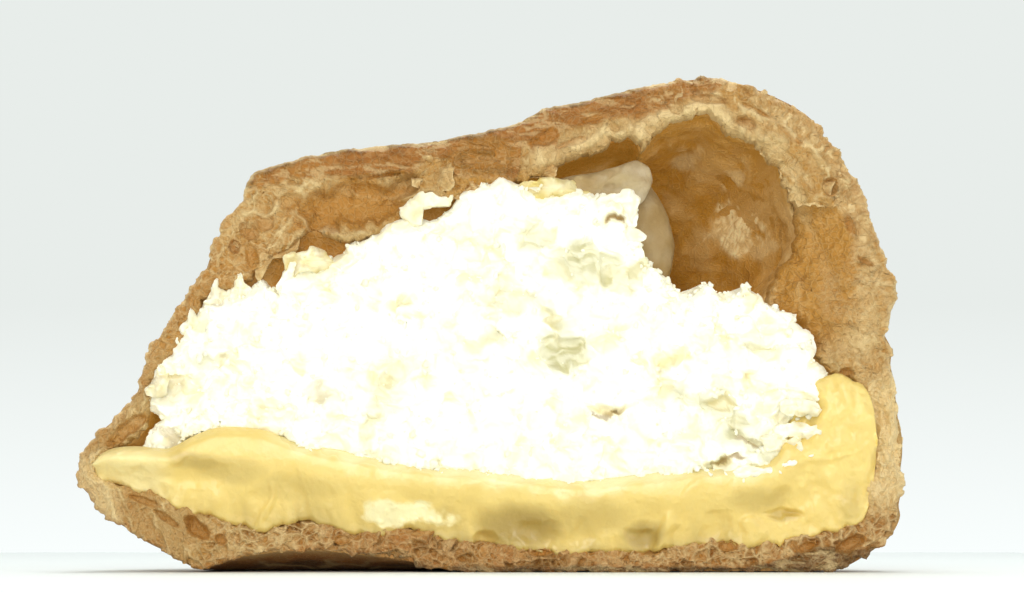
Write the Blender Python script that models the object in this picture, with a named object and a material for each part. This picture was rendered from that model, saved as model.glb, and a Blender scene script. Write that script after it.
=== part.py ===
"""Half of a filled cream puff, cut upright through the middle and resting on its base.

Three solids: a choux pastry shell with its hollow, the custard that lies in it, and the
whipped cream heaped on the custard. The frame's origin is under the middle of the half puff,
on the surface it rests on. X runs along the cut face, the cut face looks along -Y, Z is up.

The shell is worked out in turns about an upright axis that lies in the cut plane. A profile
gives the distance from the axis and the height, from the crown down to the middle of the
base, and the three profiles to the right, to the back and to the left are blended as the
turn goes on from the right edge of the cut, round the back, to its left edge.

Lengths below are in millimetres, and are made metres where a mesh is built.
"""

import math

import bmesh
import bpy
import numpy as np
from mathutils import Matrix

MM = 0.001

# Driving dimensions.
WIDTH = 85.0  # along the cut face, from tip to tip
DEPTH = 43.0  # from the cut face to the back
CROWN = 45.7  # height on the axis, where the two halves of the cut outline meet
GAP = 0.3  # air left between solids that touch on the real object
MERGE = 0.01  # points of a mesh nearer than this are one point
SHORTEST_EDGE = 0.005

HALF = WIDTH / 2
CUT_Y = -DEPTH / 2

# Number of cells round the turn and along a profile.
TURN_CELLS = 36
OUTER_CELLS = 38
INNER_CELLS = 35

# Outer profiles: (distance from the axis, height), each from the crown to the middle of the base.
# Every profile has the same features in the same order, so that they blend: crown, roof, shoulder,
# side, bulge, edge of the base, middle of the base.
OUTER_RIGHT = [
    (0, CROWN), (5.5, 47.9), (13, 49.6), (22, 51.3), (29.8, 49.1), (35, 44.3), (38.8, 38.5),
    (41, 32), (41.2, 25), (42.1, 17), (HALF, 9.8), (41.2, 4.2), (38, 1.3), (34, 0), (17, 0), (0, 0),
]
OUTER_BACK = [
    (0, CROWN), (6, 46.6), (13, 46.6), (20.5, 44.8), (27.5, 41.2), (33, 36.6), (37.2, 31.2),
    (40, 25.6), (41.9, 20), (42.9, 14.5), (DEPTH, 9.6), (41.2, 5), (37.6, 1.7), (33, 0), (16, 0), (0, 0),
]
OUTER_LEFT = [
    (0, CROWN), (5.5, 44.5), (12, 43.9), (19, 43.0), (24.4, 41.2), (26.6, 36.6), (30, 31),
    (33.6, 25.4), (35.9, 20.6), (38.2, 15.8), (HALF, 10.2), (40.3, 6.2), (35.6, 2.8), (30, 0), (15, 0),
    (0, 0),
]

# Inner profiles of the hollow, from under the crown to the middle of the shell's floor. A rib hangs
# from the roof to the right of the crown, and parts a narrow pocket from the great hollow.
INNER_RIGHT = [
    (0, 41.4), (5, 42.2), (9.6, 44.0), (13.4, 44.9), (15.9, 43.6), (18.4, 46.2), (23, 47.2), (28, 44.9),
    (32.6, 41.0), (35.8, 36), (37.2, 29.5), (38.2, 22), (39.2, 14), (39.0, 7.4), (35.5, 4.8), (28, 3.5),
    (14, 2.9), (0, 3),
]
INNER_BACK = [
    (0, 41.4), (4.6, 42.1), (9.2, 42.6), (13.4, 42.4), (17.4, 41.4), (21, 39.9), (24.6, 38.0), (28.4, 35.2),
    (31.8, 31.6), (34.4, 27.8), (36.6, 23.4), (38.4, 18), (39.4, 12.8), (38.9, 8.2), (35.6, 5.2), (29, 3.8),
    (14, 3.1), (0, 3),
]
INNER_LEFT = [
    (0, 41.4), (3.4, 40.6), (6.2, 38.8), (9.0, 36.8), (12.4, 35.1), (16.2, 33.9), (20.4, 33.2), (24.2, 31.8),
    (27.6, 29), (30.8, 25.6), (33.6, 22.2), (36.2, 17.6), (40.2, 11.6), (40.0, 9.4), (33.6, 7.6), (26.4, 4.9),
    (13, 4.7), (0, 3),
]

# The hollow under the base, which lifts the cut face off the table on the left.
ARCH_CENTRE = (-17.0, CUT_Y)
ARCH_REACH = (12.8, 15.0)
ARCH_RISE = 2.3

# The bubble in the thick crumb of the roof, left of the crown, that the knife opened.
BUBBLE_CENTRE = (-14.6, CUT_Y, 38.4)
BUBBLE_REACH = (7.4, 7.0, 2.4)  # half its length, depth and height
BUBBLE_TILT = 11.0  # degrees, its right end up

# Height of the custard's top along the cut, and how deep the whipped cream stands on it: (x, height).
CUSTARD_AT_CUT = [
    (-44, 11.5), (-37, 12.8), (-32, 12.6), (-25.5, 14.2), (-18, 12.3), (-9, 10.2), (2, 9.2),
    (12, 8.8), (24, 9.4), (30.5, 10.6), (34, 13.2), (35.6, 18.6), (38, 19.6), (44, 18.6),
]
CUSTARD_AT_BACK = 11.0
CREAM_AT_CUT = [
    (-44, 22), (-36, 23), (-29, 33), (-20, 36.5), (-10, 41), (0, 43), (6, 40.9), (11, 40.2),
    (14.8, 38.6), (16.0, 33.6), (19, 30.4), (24, 29.3), (28, 28.6), (31.5, 26.3), (33.8, 22.5),
    (35.2, 20.2), (36.6, 8), (44, 4),
]
CREAM_AT_BACK = [
    (-44, 24), (-30, 36), (-12, 44), (0, 44), (12, 40.5), (19, 33), (26, 27), (33, 21), (38, 12), (44, 6),
]

# The blocks that the fillings are cut from stand out past the part, by this much at the least.
BLOCK_PAST = 2.5
BLOCK_FLOOR = -5.0
BLOCK_CELLS = (44, 14)

MATERIALS = {
    "choux": ((0.53, 0.30, 0.12, 1), 0.62),
    "custard": ((0.86, 0.66, 0.24, 1), 0.28),
    "cream": ((0.93, 0.90, 0.82, 1), 0.55),
}


def clear_scene():
    for obj in list(bpy.data.objects):
        bpy.data.objects.remove(obj)


def material(name):
    """A Principled material of the finish's colour and roughness."""
    colour, roughness = MATERIALS[name]
    made = bpy.data.materials.new(name)
    made.use_nodes = True
    shader = made.node_tree.nodes["Principled BSDF"]
    shader.inputs["Base Color"].default_value = colour
    shader.inputs["Roughness"].default_value = roughness
    shader.inputs["Metallic"].default_value = 0.0
    return made


def smooth_step(t):
    t = np.clip(t, 0.0, 1.0)
    return t * t * (3 - 2 * t)


def through(points, cells):
    """A Catmull-Rom curve through the points, read at cells + 1 even steps of the points' order."""
    at = np.array(points, float)
    ends = np.vstack([2 * at[0] - at[1], at, 2 * at[-1] - at[-2]])
    place = np.linspace(0, len(at) - 1, cells + 1)
    first = np.minimum(place.astype(int), len(at) - 2)
    t = (place - first)[:, None]
    p0, p1, p2, p3 = (ends[first + k] for k in range(4))
    bend = 2 * p0 - 5 * p1 + 4 * p2 - p3
    swing = -p0 + 3 * p1 - 3 * p2 + p3
    return 0.5 * (2 * p1 + (p2 - p0) * t + bend * t * t + swing * t**3)


def curve_height(points, x):
    """Height of a smooth curve through (x, height) points."""
    line = through(points, 8 * len(points))
    return np.interp(x, line[:, 0], line[:, 1])


def turned(right, back, left, cells, inset=0.0):
    """Points of a surface turned from the cut's right edge round the back to its left edge.

    The weight of a side's profile is the squared cosine of the turn, and the back's is the squared
    sine. inset moves a profile towards its inside, which is on the curve's left as it runs down.
    """
    turn = np.linspace(0, math.pi, TURN_CELLS + 1)[:, None, None]
    sides = []
    for points in (right, back, left):
        line = through(points, cells)
        along = np.gradient(line, axis=0)
        along /= np.linalg.norm(along, axis=1, keepdims=True)
        line = line + inset * np.column_stack([along[:, 1], -along[:, 0]])
        line[[0, -1], 0] = 0.0
        sides.append(line[None])
    side_weight = np.cos(turn) ** 2
    near = np.where(turn < math.pi / 2, sides[0], sides[2])
    profile = near * side_weight + sides[1] * (1 - side_weight)
    distance, height = profile[..., 0], profile[..., 1]
    turn = turn[..., 0]
    return np.stack([distance * np.cos(turn), CUT_Y + distance * np.sin(turn), height], axis=-1)


def crust_lumps(points):
    """How far the outer crust stands in or out: broad swells, and shallow folds where it cracked."""
    x, y, z = points[..., 0], points[..., 1] - CUT_Y, points[..., 2]
    swell = np.sin(x / 7.1 + 0.7) * np.sin(y / 6.3 + 0.4) * np.cos(z / 8.2)
    ripple = np.sin(x / 3.7 - y / 5.1) * np.cos(z / 4.4 + x / 9.0)
    fold = -np.exp(-(((x + 0.35 * y - 4 + 3 * np.sin(y / 7)) / 2.2) ** 2))
    lifted = smooth_step((z - 2) / 8)
    back = smooth_step((y - 1) / 9)
    return lifted * back * (0.9 * swell + 0.45 * ripple + 1.1 * fold)


def arch(points):
    """Rise of the hollow under the base, highest at the cut and gone where the base stands."""
    x = (points[..., 0] - ARCH_CENTRE[0]) / ARCH_REACH[0]
    y = (points[..., 1] - ARCH_CENTRE[1]) / ARCH_REACH[1]
    return ARCH_RISE * smooth_step(1 - x * x - y * y)


def outer_surface():
    """The crust, stretched so that the lumps leave its width and depth as stated."""
    points = turned(OUTER_RIGHT, OUTER_BACK, OUTER_LEFT, OUTER_CELLS)
    out = points - np.array([0, CUT_Y, CROWN / 2])
    out /= np.linalg.norm(out, axis=-1, keepdims=True)
    points = points + out * crust_lumps(points)[..., None]
    on_table = points[..., 2] < MERGE
    points[..., 2] = np.where(on_table, arch(points), points[..., 2])
    x, back = points[..., 0], np.maximum(points[..., 1] - CUT_Y, 0)
    points[..., 0] = np.where(x > 0, x * HALF / x.max(), x * HALF / -x.min())
    points[..., 1] = CUT_Y + back * DEPTH / back.max()
    return points


def hollow_surface(inset=0.0):
    points = turned(INNER_RIGHT, INNER_BACK, INNER_LEFT, INNER_CELLS, inset)
    points[..., 1] = np.maximum(points[..., 1], CUT_Y)
    return points


def grid_faces(start, rows, columns):
    """Quads of a grid of points numbered row by row from start."""
    return [
        (start + r * columns + c, start + r * columns + c + 1,
         start + (r + 1) * columns + c + 1, start + (r + 1) * columns + c)
        for r in range(rows - 1)
        for c in range(columns - 1)
    ]


def mesh_object(name, points, faces, finish=None):
    """An object from points in millimetres, with shared points merged and its faces pointing out.

    Without a finish it is a cutter, which isn't drawn.
    """
    mesh = bpy.data.meshes.new(name)
    mesh.from_pydata((np.asarray(points) * MM).tolist(), [], faces)
    work = bmesh.new()
    work.from_mesh(mesh)
    bmesh.ops.remove_doubles(work, verts=work.verts, dist=MERGE * MM)
    bmesh.ops.dissolve_degenerate(work, dist=SHORTEST_EDGE * MM, edges=work.edges)
    bmesh.ops.triangulate(work, faces=work.faces)
    bmesh.ops.recalc_face_normals(work, faces=work.faces)
    work.to_mesh(mesh)
    work.free()
    mesh.shade_smooth()
    made = bpy.data.objects.new(name, mesh)
    bpy.context.scene.collection.objects.link(made)
    if finish:
        mesh.materials.append(finish)
    else:
        made.hide_render = True
        made.display_type = "WIRE"
    return made


def closed_turn(name, points, finish=None):
    """A turned surface closed by a flat face in the cut plane."""
    rows, columns = points.shape[:2]
    last = (rows - 1) * columns
    rim = list(range(columns)) + list(range(last + columns - 2, last, -1))
    return mesh_object(name, points.reshape(-1, 3), grid_faces(0, rows, columns) + [tuple(rim)], finish)


def cut_with(obj, other, operation):
    """Adds and applies an exact Boolean, so that later steps read a plain mesh."""
    step = obj.modifiers.new(operation.lower(), "BOOLEAN")
    step.operation = operation
    step.solver = "EXACT"
    step.object = other
    bpy.context.view_layer.update()
    graph = bpy.context.evaluated_depsgraph_get()
    result = bpy.data.meshes.new_from_object(obj.evaluated_get(graph), depsgraph=graph)
    obj.modifiers.clear()
    obj.data = result


def bubble():
    """A tilted ellipsoid centred in the cut plane."""
    work = bmesh.new()
    bmesh.ops.create_icosphere(work, subdivisions=3, radius=1.0)
    bmesh.ops.scale(work, vec=BUBBLE_REACH, verts=work.verts)
    tilt = Matrix.Rotation(-math.radians(BUBBLE_TILT), 3, "Y")
    bmesh.ops.rotate(work, cent=(0, 0, 0), matrix=tilt, verts=work.verts)
    bmesh.ops.translate(work, vec=BUBBLE_CENTRE, verts=work.verts)
    points = [tuple(v.co) for v in work.verts]
    faces = [tuple(v.index for v in f.verts) for f in work.faces]
    work.free()
    return mesh_object("bubble", points, faces)


def block_under(name, height):
    """A closed block whose top has that height at each (x, y), and whose floor is below the part."""
    columns, rows = BLOCK_CELLS[0] + 1, BLOCK_CELLS[1] + 1
    far_x, far_y = HALF + BLOCK_PAST, -CUT_Y + BLOCK_PAST
    x, y = np.meshgrid(np.linspace(-far_x, far_x, columns), np.linspace(-far_y, far_y, rows))
    top = np.stack([x, y, height(x, y)], axis=-1).reshape(-1, 3)
    floor = np.stack([x, y, np.full_like(x, BLOCK_FLOOR)], axis=-1).reshape(-1, 3)
    count = rows * columns
    faces = grid_faces(0, rows, columns) + grid_faces(count, rows, columns)
    rim = (
        list(range(columns))
        + [r * columns + columns - 1 for r in range(1, rows)]
        + [(rows - 1) * columns + c for c in range(columns - 2, -1, -1)]
        + [r * columns for r in range(rows - 2, 0, -1)]
    )
    faces += [(a, b, count + b, count + a) for a, b in zip(rim, rim[1:] + rim[:1])]
    return mesh_object(name, np.vstack([top, floor]), faces)


def custard_top(x, y):
    """The custard's top: the wave seen at the cut dies away towards the back."""
    deep = smooth_step((y - CUT_Y - 2) / (0.7 * DEPTH))
    at_cut = curve_height(CUSTARD_AT_CUT, x)
    return at_cut + (CUSTARD_AT_BACK - at_cut) * deep


def cream_top(x, y):
    """The whipped cream's top: a heap against the roof that slopes down to the right."""
    deep = smooth_step((y - CUT_Y - 2) / (0.5 * DEPTH))
    at_cut = curve_height(CREAM_AT_CUT, x)
    at_back = curve_height(CREAM_AT_BACK, x)
    return at_cut + (at_back - at_cut) * deep


def make_shell():
    outer, inner = outer_surface(), hollow_surface()
    rows = outer.shape[0]
    wide, narrow = outer.shape[1], inner.shape[1]
    count = rows * wide
    faces = grid_faces(0, rows, wide) + grid_faces(count, rows, narrow)
    outer_last, inner_last = (rows - 1) * wide, count + (rows - 1) * narrow
    # The two strips of the cut face, right and left of the axis, from an outer to an inner edge.
    for out_start, in_start in ((0, count), (outer_last, inner_last)):
        outer_edge = range(out_start, out_start + wide)
        inner_edge = range(in_start + narrow - 1, in_start - 1, -1)
        faces.append((*outer_edge, *inner_edge))
    points = np.vstack([outer.reshape(-1, 3), inner.reshape(-1, 3)])
    shell = mesh_object("choux_shell", points, faces, material("choux"))
    cut_with(shell, bubble(), "DIFFERENCE")


def make_fillings():
    custard = closed_turn("custard", hollow_surface(GAP), material("custard"))
    cut_with(custard, block_under("custard_block", custard_top), "INTERSECT")
    cream = closed_turn("whipped_cream", hollow_surface(GAP), material("cream"))
    cut_with(cream, block_under("cream_block", cream_top), "INTERSECT")
    cleared = block_under("custard_clearance", lambda x, y: custard_top(x, y) + GAP)
    cut_with(cream, cleared, "DIFFERENCE")


def main():
    clear_scene()
    make_shell()
    make_fillings()


main()
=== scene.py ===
# %% [markdown]
# # Half of a filled cream puff
#
# The real thing is a baked choux shell cut upright through the middle. Its brown crust is thin, its
# crumb is full of bubbles, and its hollow holds a layer of custard with torn whipped cream on top.
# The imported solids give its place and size. Every surface that shows is worked out here with numpy,
# as a function of two parameters on a grid, and then gets a finish of its own.
#
# Lengths are in millimetres until a mesh is made. X runs along the cut, Z is up, and the cut face
# looks along -Y, so a larger y is further into the puff.

# %% Load the frame
import math

import bpy
import numpy as np
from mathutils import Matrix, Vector

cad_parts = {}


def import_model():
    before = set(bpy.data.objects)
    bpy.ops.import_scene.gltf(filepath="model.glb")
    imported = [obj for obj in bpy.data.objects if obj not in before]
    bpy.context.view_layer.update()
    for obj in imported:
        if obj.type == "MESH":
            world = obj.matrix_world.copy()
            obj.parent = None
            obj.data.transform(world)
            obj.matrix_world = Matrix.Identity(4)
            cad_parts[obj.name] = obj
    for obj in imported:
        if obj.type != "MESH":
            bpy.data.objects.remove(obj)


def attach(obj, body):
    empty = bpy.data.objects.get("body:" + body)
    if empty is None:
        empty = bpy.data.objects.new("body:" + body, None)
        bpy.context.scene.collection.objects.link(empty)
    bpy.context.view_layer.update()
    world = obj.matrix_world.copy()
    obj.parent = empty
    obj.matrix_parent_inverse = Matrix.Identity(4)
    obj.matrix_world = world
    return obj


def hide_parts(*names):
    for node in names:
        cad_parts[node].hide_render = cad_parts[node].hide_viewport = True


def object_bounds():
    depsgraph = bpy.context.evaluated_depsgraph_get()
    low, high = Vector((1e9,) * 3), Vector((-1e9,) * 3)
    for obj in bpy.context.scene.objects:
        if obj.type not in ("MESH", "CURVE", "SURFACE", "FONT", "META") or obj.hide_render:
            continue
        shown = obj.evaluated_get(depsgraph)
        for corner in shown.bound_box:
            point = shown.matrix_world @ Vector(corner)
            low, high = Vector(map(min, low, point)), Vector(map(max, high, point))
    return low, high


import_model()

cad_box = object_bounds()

MM = 0.001
CUT = cad_box[0].y / MM  # the cut plane
HALF = cad_box[1].x / MM
DEPTH = (cad_box[1].y - cad_box[0].y) / MM
print(f"cut at y {CUT:.1f}, half width {HALF:.1f}, depth {DEPTH:.1f}")

# %% [markdown]
# ## Noise
#
# Bread, foam and torn cream have no smooth formula, but they have a grain size. Two kinds of noise
# give it. Value noise puts a random height at each corner of a lattice and blends between them, for
# soft swells. Cell noise scatters one point in each cube and measures the distance to the nearest,
# for bubbles and clumps. Both are whole-array sums, and the same place always gives the same number.


# %% Random numbers on a lattice
def hashed(cell, salt):
    """A whole number for each lattice cell: its x, y and z times large odd numbers, then mixed."""
    mixed = cell[..., 0] * 73856093 ^ cell[..., 1] * 19349663 ^ cell[..., 2] * 83492791
    mixed = (mixed ^ (salt * 2654435761)) & 0xFFFFFFFF
    for shift, factor in ((16, 0x7FEB352D), (15, 0x346CA68B)):
        mixed = (mixed ^ (mixed >> shift)) * factor & 0xFFFFFFFF
    return mixed ^ (mixed >> 16)


def soft_step(t):
    """Rises from 0 to 1 as t does, level at both ends: t squared times three less twice t."""
    t = np.clip(t, 0.0, 1.0)
    return t * t * (3 - 2 * t)


def past(value, start, over):
    """Nought up to the start, and one from that far past it: the soft step of the way between."""
    return soft_step((value - start) / over)


def before(value, end, over):
    """One until that far before the end, and nought from the end on."""
    return soft_step((end - value) / over)


def swell(at, size, salt):
    """Value noise from -1 to 1: corner values of the cube that a point is in, blended by soft steps."""
    place = at / size
    cell = np.floor(place).astype(np.int64)
    part = soft_step(place - cell)
    total = 0.0
    for corner in np.ndindex(2, 2, 2):
        step = np.array(corner)
        weight = np.prod(np.where(step == 1, part, 1 - part), axis=-1)
        total = total + weight * (hashed(cell + step, salt) / 2**31 - 1)
    return total


def rough(at, size, octaves, salt, fade=0.5):
    """A sum of swells, each half the size of the one before and fade times as strong."""
    return sum(swell(at, size / 2**k, salt + k) * fade**k for k in range(octaves))


def drifts(at, size, octaves, salts):
    """Sideways shifts: a roughness of its own for each axis, side by side."""
    return np.stack([rough(at, size, octaves, salt) for salt in salts], axis=-1)


def cells(at, size, salt):
    """Cell noise: distance to the nearest scattered point, to the second, and the nearest's number.

    Each cube of the lattice holds one point, and the 27 cubes round a place are searched.
    Distances are in cubes' sides, and the number is from 0 to 1.
    """
    place = at / size
    home = np.floor(place).astype(np.int64)
    nearest = np.full(at.shape[:-1], 9.0)
    second = np.full(at.shape[:-1], 9.0)
    number = np.zeros(at.shape[:-1])
    for step in np.ndindex(3, 3, 3):
        cell = home + np.array(step) - 1
        code = hashed(cell, salt)
        away = 0.0
        for axis in range(3):
            jitter = ((code >> (10 * axis)) & 1023) / 1023
            away = away + (cell[..., axis] + jitter - place[..., axis]) ** 2
        away = np.sqrt(away)
        closer = away < nearest
        second = np.where(closer, nearest, np.minimum(second, away))
        number = np.where(closer, (code >> 7) % 997 / 997, number)
        nearest = np.minimum(nearest, away)
    return nearest, second, number


def at_cut(x, z, y=0.0):
    """Points at x and z, y behind the cut, as one array."""
    return np.stack(np.broadcast_arrays(x, y, z), axis=-1)


# %% [markdown]
# ## Meshes from grids
#
# A surface worked out on a grid becomes quads, row by row. A grid may wrap round, as a ring does.
# Numbers that a finish needs later, such as how deep a place lies in a bubble, are kept on the
# vertices as named attributes. A closed mesh whose faces point inwards has a negative volume, which
# is how the faces are turned the right way.


# %% Grid helpers
def quads(rows, columns, ring=False, tube=False):
    """Faces of a grid numbered row by row. A ring joins its last row to its first, a tube its columns."""
    r = np.arange(rows if ring else rows - 1)[:, None]
    c = np.arange(columns if tube else columns - 1)[None]
    low, high, right = r * columns, (r + 1) % rows * columns, (c + 1) % columns
    return np.stack([low + c, low + right, high + right, high + c], axis=-1).reshape(-1, 4)


def held(points, faces):
    """Six times the volume inside a closed mesh of quads: the sum of its corners' triple products."""
    a, b, c, d = (points[faces[:, k]] - points.mean(axis=0) for k in range(4))
    return (np.cross(b, c) * a).sum() + (np.cross(c, d) * a).sum()


def make_piece(name, points, faces, node, marks=None, extra=()):
    """A mesh object from points in millimetres, facing outwards, that rides on the root body.

    faces is an array of quads, and extra lists other faces that close it. marks are the numbers
    kept on its points, by name.
    """
    points = np.asarray(points, float).reshape(-1, 3) * MM
    listed = faces.tolist() + [list(face) for face in extra]
    if held(points, faces) < 0:
        listed = [face[::-1] for face in listed]
    mesh = bpy.data.meshes.new(name)
    mesh.from_pydata(points.tolist(), [], listed, shade_flat=False)
    for label, values in (marks or {}).items():
        layer = mesh.attributes.new(label, "FLOAT", "POINT")
        layer.data.foreach_set("value", np.asarray(values, np.float32).ravel())
    made = bpy.data.objects.new(name, mesh)
    bpy.context.scene.collection.objects.link(made)
    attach(made, "root")
    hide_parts(node)
    triangles = sum(len(face) - 2 for face in listed)
    size = np.ptp(points, axis=0) / MM
    print(f"{name}: {triangles} triangles, {size[0]:.1f} x {size[1]:.1f} x {size[2]:.1f} mm")
    return made


def ball_faces(rows, columns):
    """Faces of a ball: quads of a grid that is a ring along its rows, and fans to two last points."""
    around = np.arange(rows)
    after = np.roll(around, -1)
    low, high = np.full(rows, rows * columns), np.full(rows, rows * columns + 1)
    first = np.stack([after * columns, low, around * columns], axis=-1)
    last = np.stack([(after + 1) * columns - 1, (around + 1) * columns - 1, high], axis=-1)
    return quads(rows, columns, ring=True), np.vstack([first, last])


def tube_ends(rows, columns):
    """The two flat ends of a grid that is a tube along its columns."""
    numbers = list(range(rows * columns))
    return [numbers[:columns][::-1], numbers[-columns:]]


def joined(name, parts, node):
    """One piece from closed parts, each of them points, quads, triangles and marks."""
    points, faces, ends, count = [], [], [], 0
    for at, sides, caps, _ in parts:
        turn = -1 if held(at, sides) < 0 else 1
        points.append(at)
        faces.append(sides[:, ::turn] + count)
        ends.append(caps[:, ::turn] + count)
        count += len(at)
    marks = {label: np.concatenate([part[3][label] for part in parts]) for label in parts[0][3]}
    return make_piece(name, np.vstack(points), np.vstack(faces), node, marks, np.vstack(ends).tolist())


# %% [markdown]
# ## Curves through points
#
# Outlines are given by the few points that their shape needs, and a Catmull-Rom curve runs through
# them. It is read at even steps of its length, so that a grid built on it has even cells.


# %% Curves
def spans(at, index, part):
    """Catmull-Rom: the point a part of the way from point index + 1 to the next, bent by its neighbours."""
    p0, p1, p2, p3 = (at[(index + k) % len(at)] for k in range(4))
    bend = 2 * p0 - 5 * p1 + 4 * p2 - p3
    swing = -p0 + 3 * p1 - 3 * p2 + p3
    return 0.5 * (2 * p1 + (p2 - p0) * part + bend * part**2 + swing * part**3)


def even_steps(line, count):
    """The line's columns read at count places an even length apart, both ends counted."""
    travelled = np.concatenate([[0], np.cumsum(np.linalg.norm(np.diff(line, axis=0), axis=1))])
    wanted = np.linspace(0, travelled[-1], count)
    return np.stack([np.interp(wanted, travelled, column) for column in line.T], axis=-1)


def loop_through(points, count):
    """A closed curve through the points, read at count even steps."""
    at = np.array(points, float)
    place = np.arange(len(at) * 24 + 1) / 24
    index = place.astype(int)
    line = spans(at, index - 1, (place - index)[:, None])
    return even_steps(line, count + 1)[:-1]


def curve_through(points, count):
    """An open curve through the points, read at count even steps."""
    at = np.array(points, float)
    at = np.vstack([2 * at[0] - at[1], at, 2 * at[-1] - at[-2]])
    place = np.linspace(0, len(points) - 1, len(points) * 24)
    index = np.minimum(place.astype(int), len(points) - 2)
    return even_steps(spans(at, index, (place - index)[:, None]), count)


# %% [markdown]
# ## The ring of dough that the knife cut through
#
# Seen from the front, the shell is a ring: an outline of crust, and inside it the outline of the
# hollow. The two are given together, as spokes from crust to hollow, so that a grid between them
# runs along the wall and across it. The spokes start at the crown and go round clockwise.

# %% Spokes of the ring: crust x and z, hollow x and z
RING = [
    # Crown to the top of the right shoulder.
    (0, 45.6, 0.2, 40.4), (2.6, 46.3, 2.2, 40.5), (5.2, 47.8, 4.6, 41.2), (7.2, 48.2, 6.3, 42.3),
    (9, 48.5, 8.2, 42.8), (10.8, 48.9, 10.0, 43.6), (12.8, 49.4, 12.0, 44.5), (14.6, 49.9, 13.6, 45.2),
    (16.4, 50.3, 15.1, 45.0), (17.5, 50.5, 15.7, 43.8), (18.6, 50.7, 16.4, 44.4), (19.6, 50.9, 17.6, 46.0),
    (21, 51.1, 19.4, 46.9), (22.6, 51.2, 21.2, 47.4), (24.2, 51.1, 22.8, 47.7), (25.6, 50.7, 23.7, 47.0),
    (27, 50.3, 24.6, 45.8), (28.4, 49.8, 26.2, 45.1), (30.2, 49.0, 27.7, 44.7), (32, 48.0, 28.4, 43.8),
    # Down the right side, where the inner wall slopes in behind the cut.
    (33.6, 46.7, 28.9, 42.8), (34.5, 45.0, 30.1, 42.4), (36, 43.4, 30.4, 41.3), (36.6, 42.0, 30.8, 40.0),
    (38, 40.3, 31.4, 38.8), (39.1, 37.5, 32.0, 37.4), (39.9, 35.0, 32.3, 35.4), (40.4, 33.3, 31.9, 33.6),
    (41.1, 31.4, 30.8, 32.0), (41.9, 30.2, 29.9, 30.6), (41.8, 28.8, 29.0, 29.2), (41.3, 26.3, 28.9, 27.4),
    (40.7, 25.0, 31.4, 25.2),
    (41.5, 23.1, 33.8, 22.6), (41.4, 21.4, 35.6, 20.8), (41.7, 20.0, 38.2, 19.6), (41.9, 18, 39.0, 17.6),
    (42.1, 16, 39.4, 15.5), (42.5, 14, 39.9, 13.8), (42.5, 12, 39.9, 11.8), (42.3, 10.3, 39.4, 10),
    (42.5, 8.8, 39.2, 8.6), (42.1, 7, 39.2, 7.0), (42.2, 5.6, 38.6, 5.8), (41.2, 3.7, 37.2, 4.9),
    # Along the base.
    (38.7, 1.6, 35.4, 4.4), (36.2, 0.3, 33.8, 4.1), (33.2, 0.0, 31.6, 3.8), (29, 0, 28.8, 3.6),
    (25, 0, 25, 3.4), (21, 0, 21, 3.3), (17, 0, 17, 2.5), (12, 0, 12, 2.4), (7, 0, 7, 2.4), (2, 0, 2, 2.7),
    (-3, 0.05, -3, 3.4), (-6, 0.5, -6.3, 4.2), (-9, 1.2, -9, 4.7), (-14, 1.9, -14, 4.4),
    (-19, 2.3, -19, 5.4), (-23, 2.0, -23.3, 4.9), (-27, 1.3, -26.6, 5.4), (-29.6, 0.3, -29.2, 5.7),
    # Up the left side, where the wall is thin.
    (-31.6, 0.8, -30.6, 6.2), (-33.4, 2.0, -32.6, 6.9), (-35.5, 3.1, -34.2, 8.0), (-38.0, 4.9, -36.4, 8.5),
    (-40, 6.1, -38.8, 9.1), (-41.3, 7.9, -40.3, 9.6), (-42.4, 9.2, -41.0, 10.3), (-42.4, 11.2, -41.1, 11.5),
    (-41.8, 12.7, -39.7, 12.4), (-40.4, 14.4, -37.6, 13.3), (-38.8, 15.8, -36.2, 14.6),
    (-37.2, 17.4, -35.5, 16.6), (-36.5, 18.8, -35.2, 18.6), (-36.0, 20.7, -34.8, 20.6),
    (-35.3, 22.7, -33.7, 21.9), (-34.1, 24.6, -32.1, 23.8), (-32.6, 26.8, -30.6, 26.2),
    (-31.2, 29.0, -29.8, 28.4),
    # The torn left shoulder, and the roof back to the crown.
    (-29.8, 30.8, -27.8, 29.4), (-29.2, 32.4, -25.8, 29.8), (-28.3, 34.6, -24.4, 31.2),
    (-27.4, 36.4, -22.6, 32.8), (-25.8, 38.2, -20.8, 33.8), (-24.8, 40.9, -19.8, 35.4),
    (-22.4, 41.9, -17.6, 35.2), (-19, 42.8, -15.2, 34.6), (-15.5, 43.5, -12.6, 35.0),
    (-12, 43.9, -10.2, 36.2), (-8.6, 44.1, -8.2, 37.8), (-5.6, 44.4, -6.6, 39.4),
    (-3.6, 44.9, -4.4, 38.6), (-1.8, 45.2, -2.2, 39.7),
]
STATIONS = 2600  # places round the ring
ACROSS = 62  # places across the wall, on the cut face


def ring_spokes(count):
    """The spokes at count even steps, the crust end moved outwards by 0.3, or by 0.45 on the roof."""
    spokes = loop_through(RING, count)
    away = spokes[:, :2] - spokes[:, 2:]
    away = away / np.linalg.norm(away, axis=1, keepdims=True)
    z = spokes[:, 1:2]
    spokes[:, :2] += away * (0.3 + 0.15 * past(z, 34, 6)) * soft_step(z / 6)
    return spokes


ring = ring_spokes(STATIONS)
step = np.linalg.norm(np.diff(ring[:, :2], axis=0), axis=1).mean()
print(f"ring: {len(RING)} spokes, stations {step:.2f} mm apart")

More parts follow.
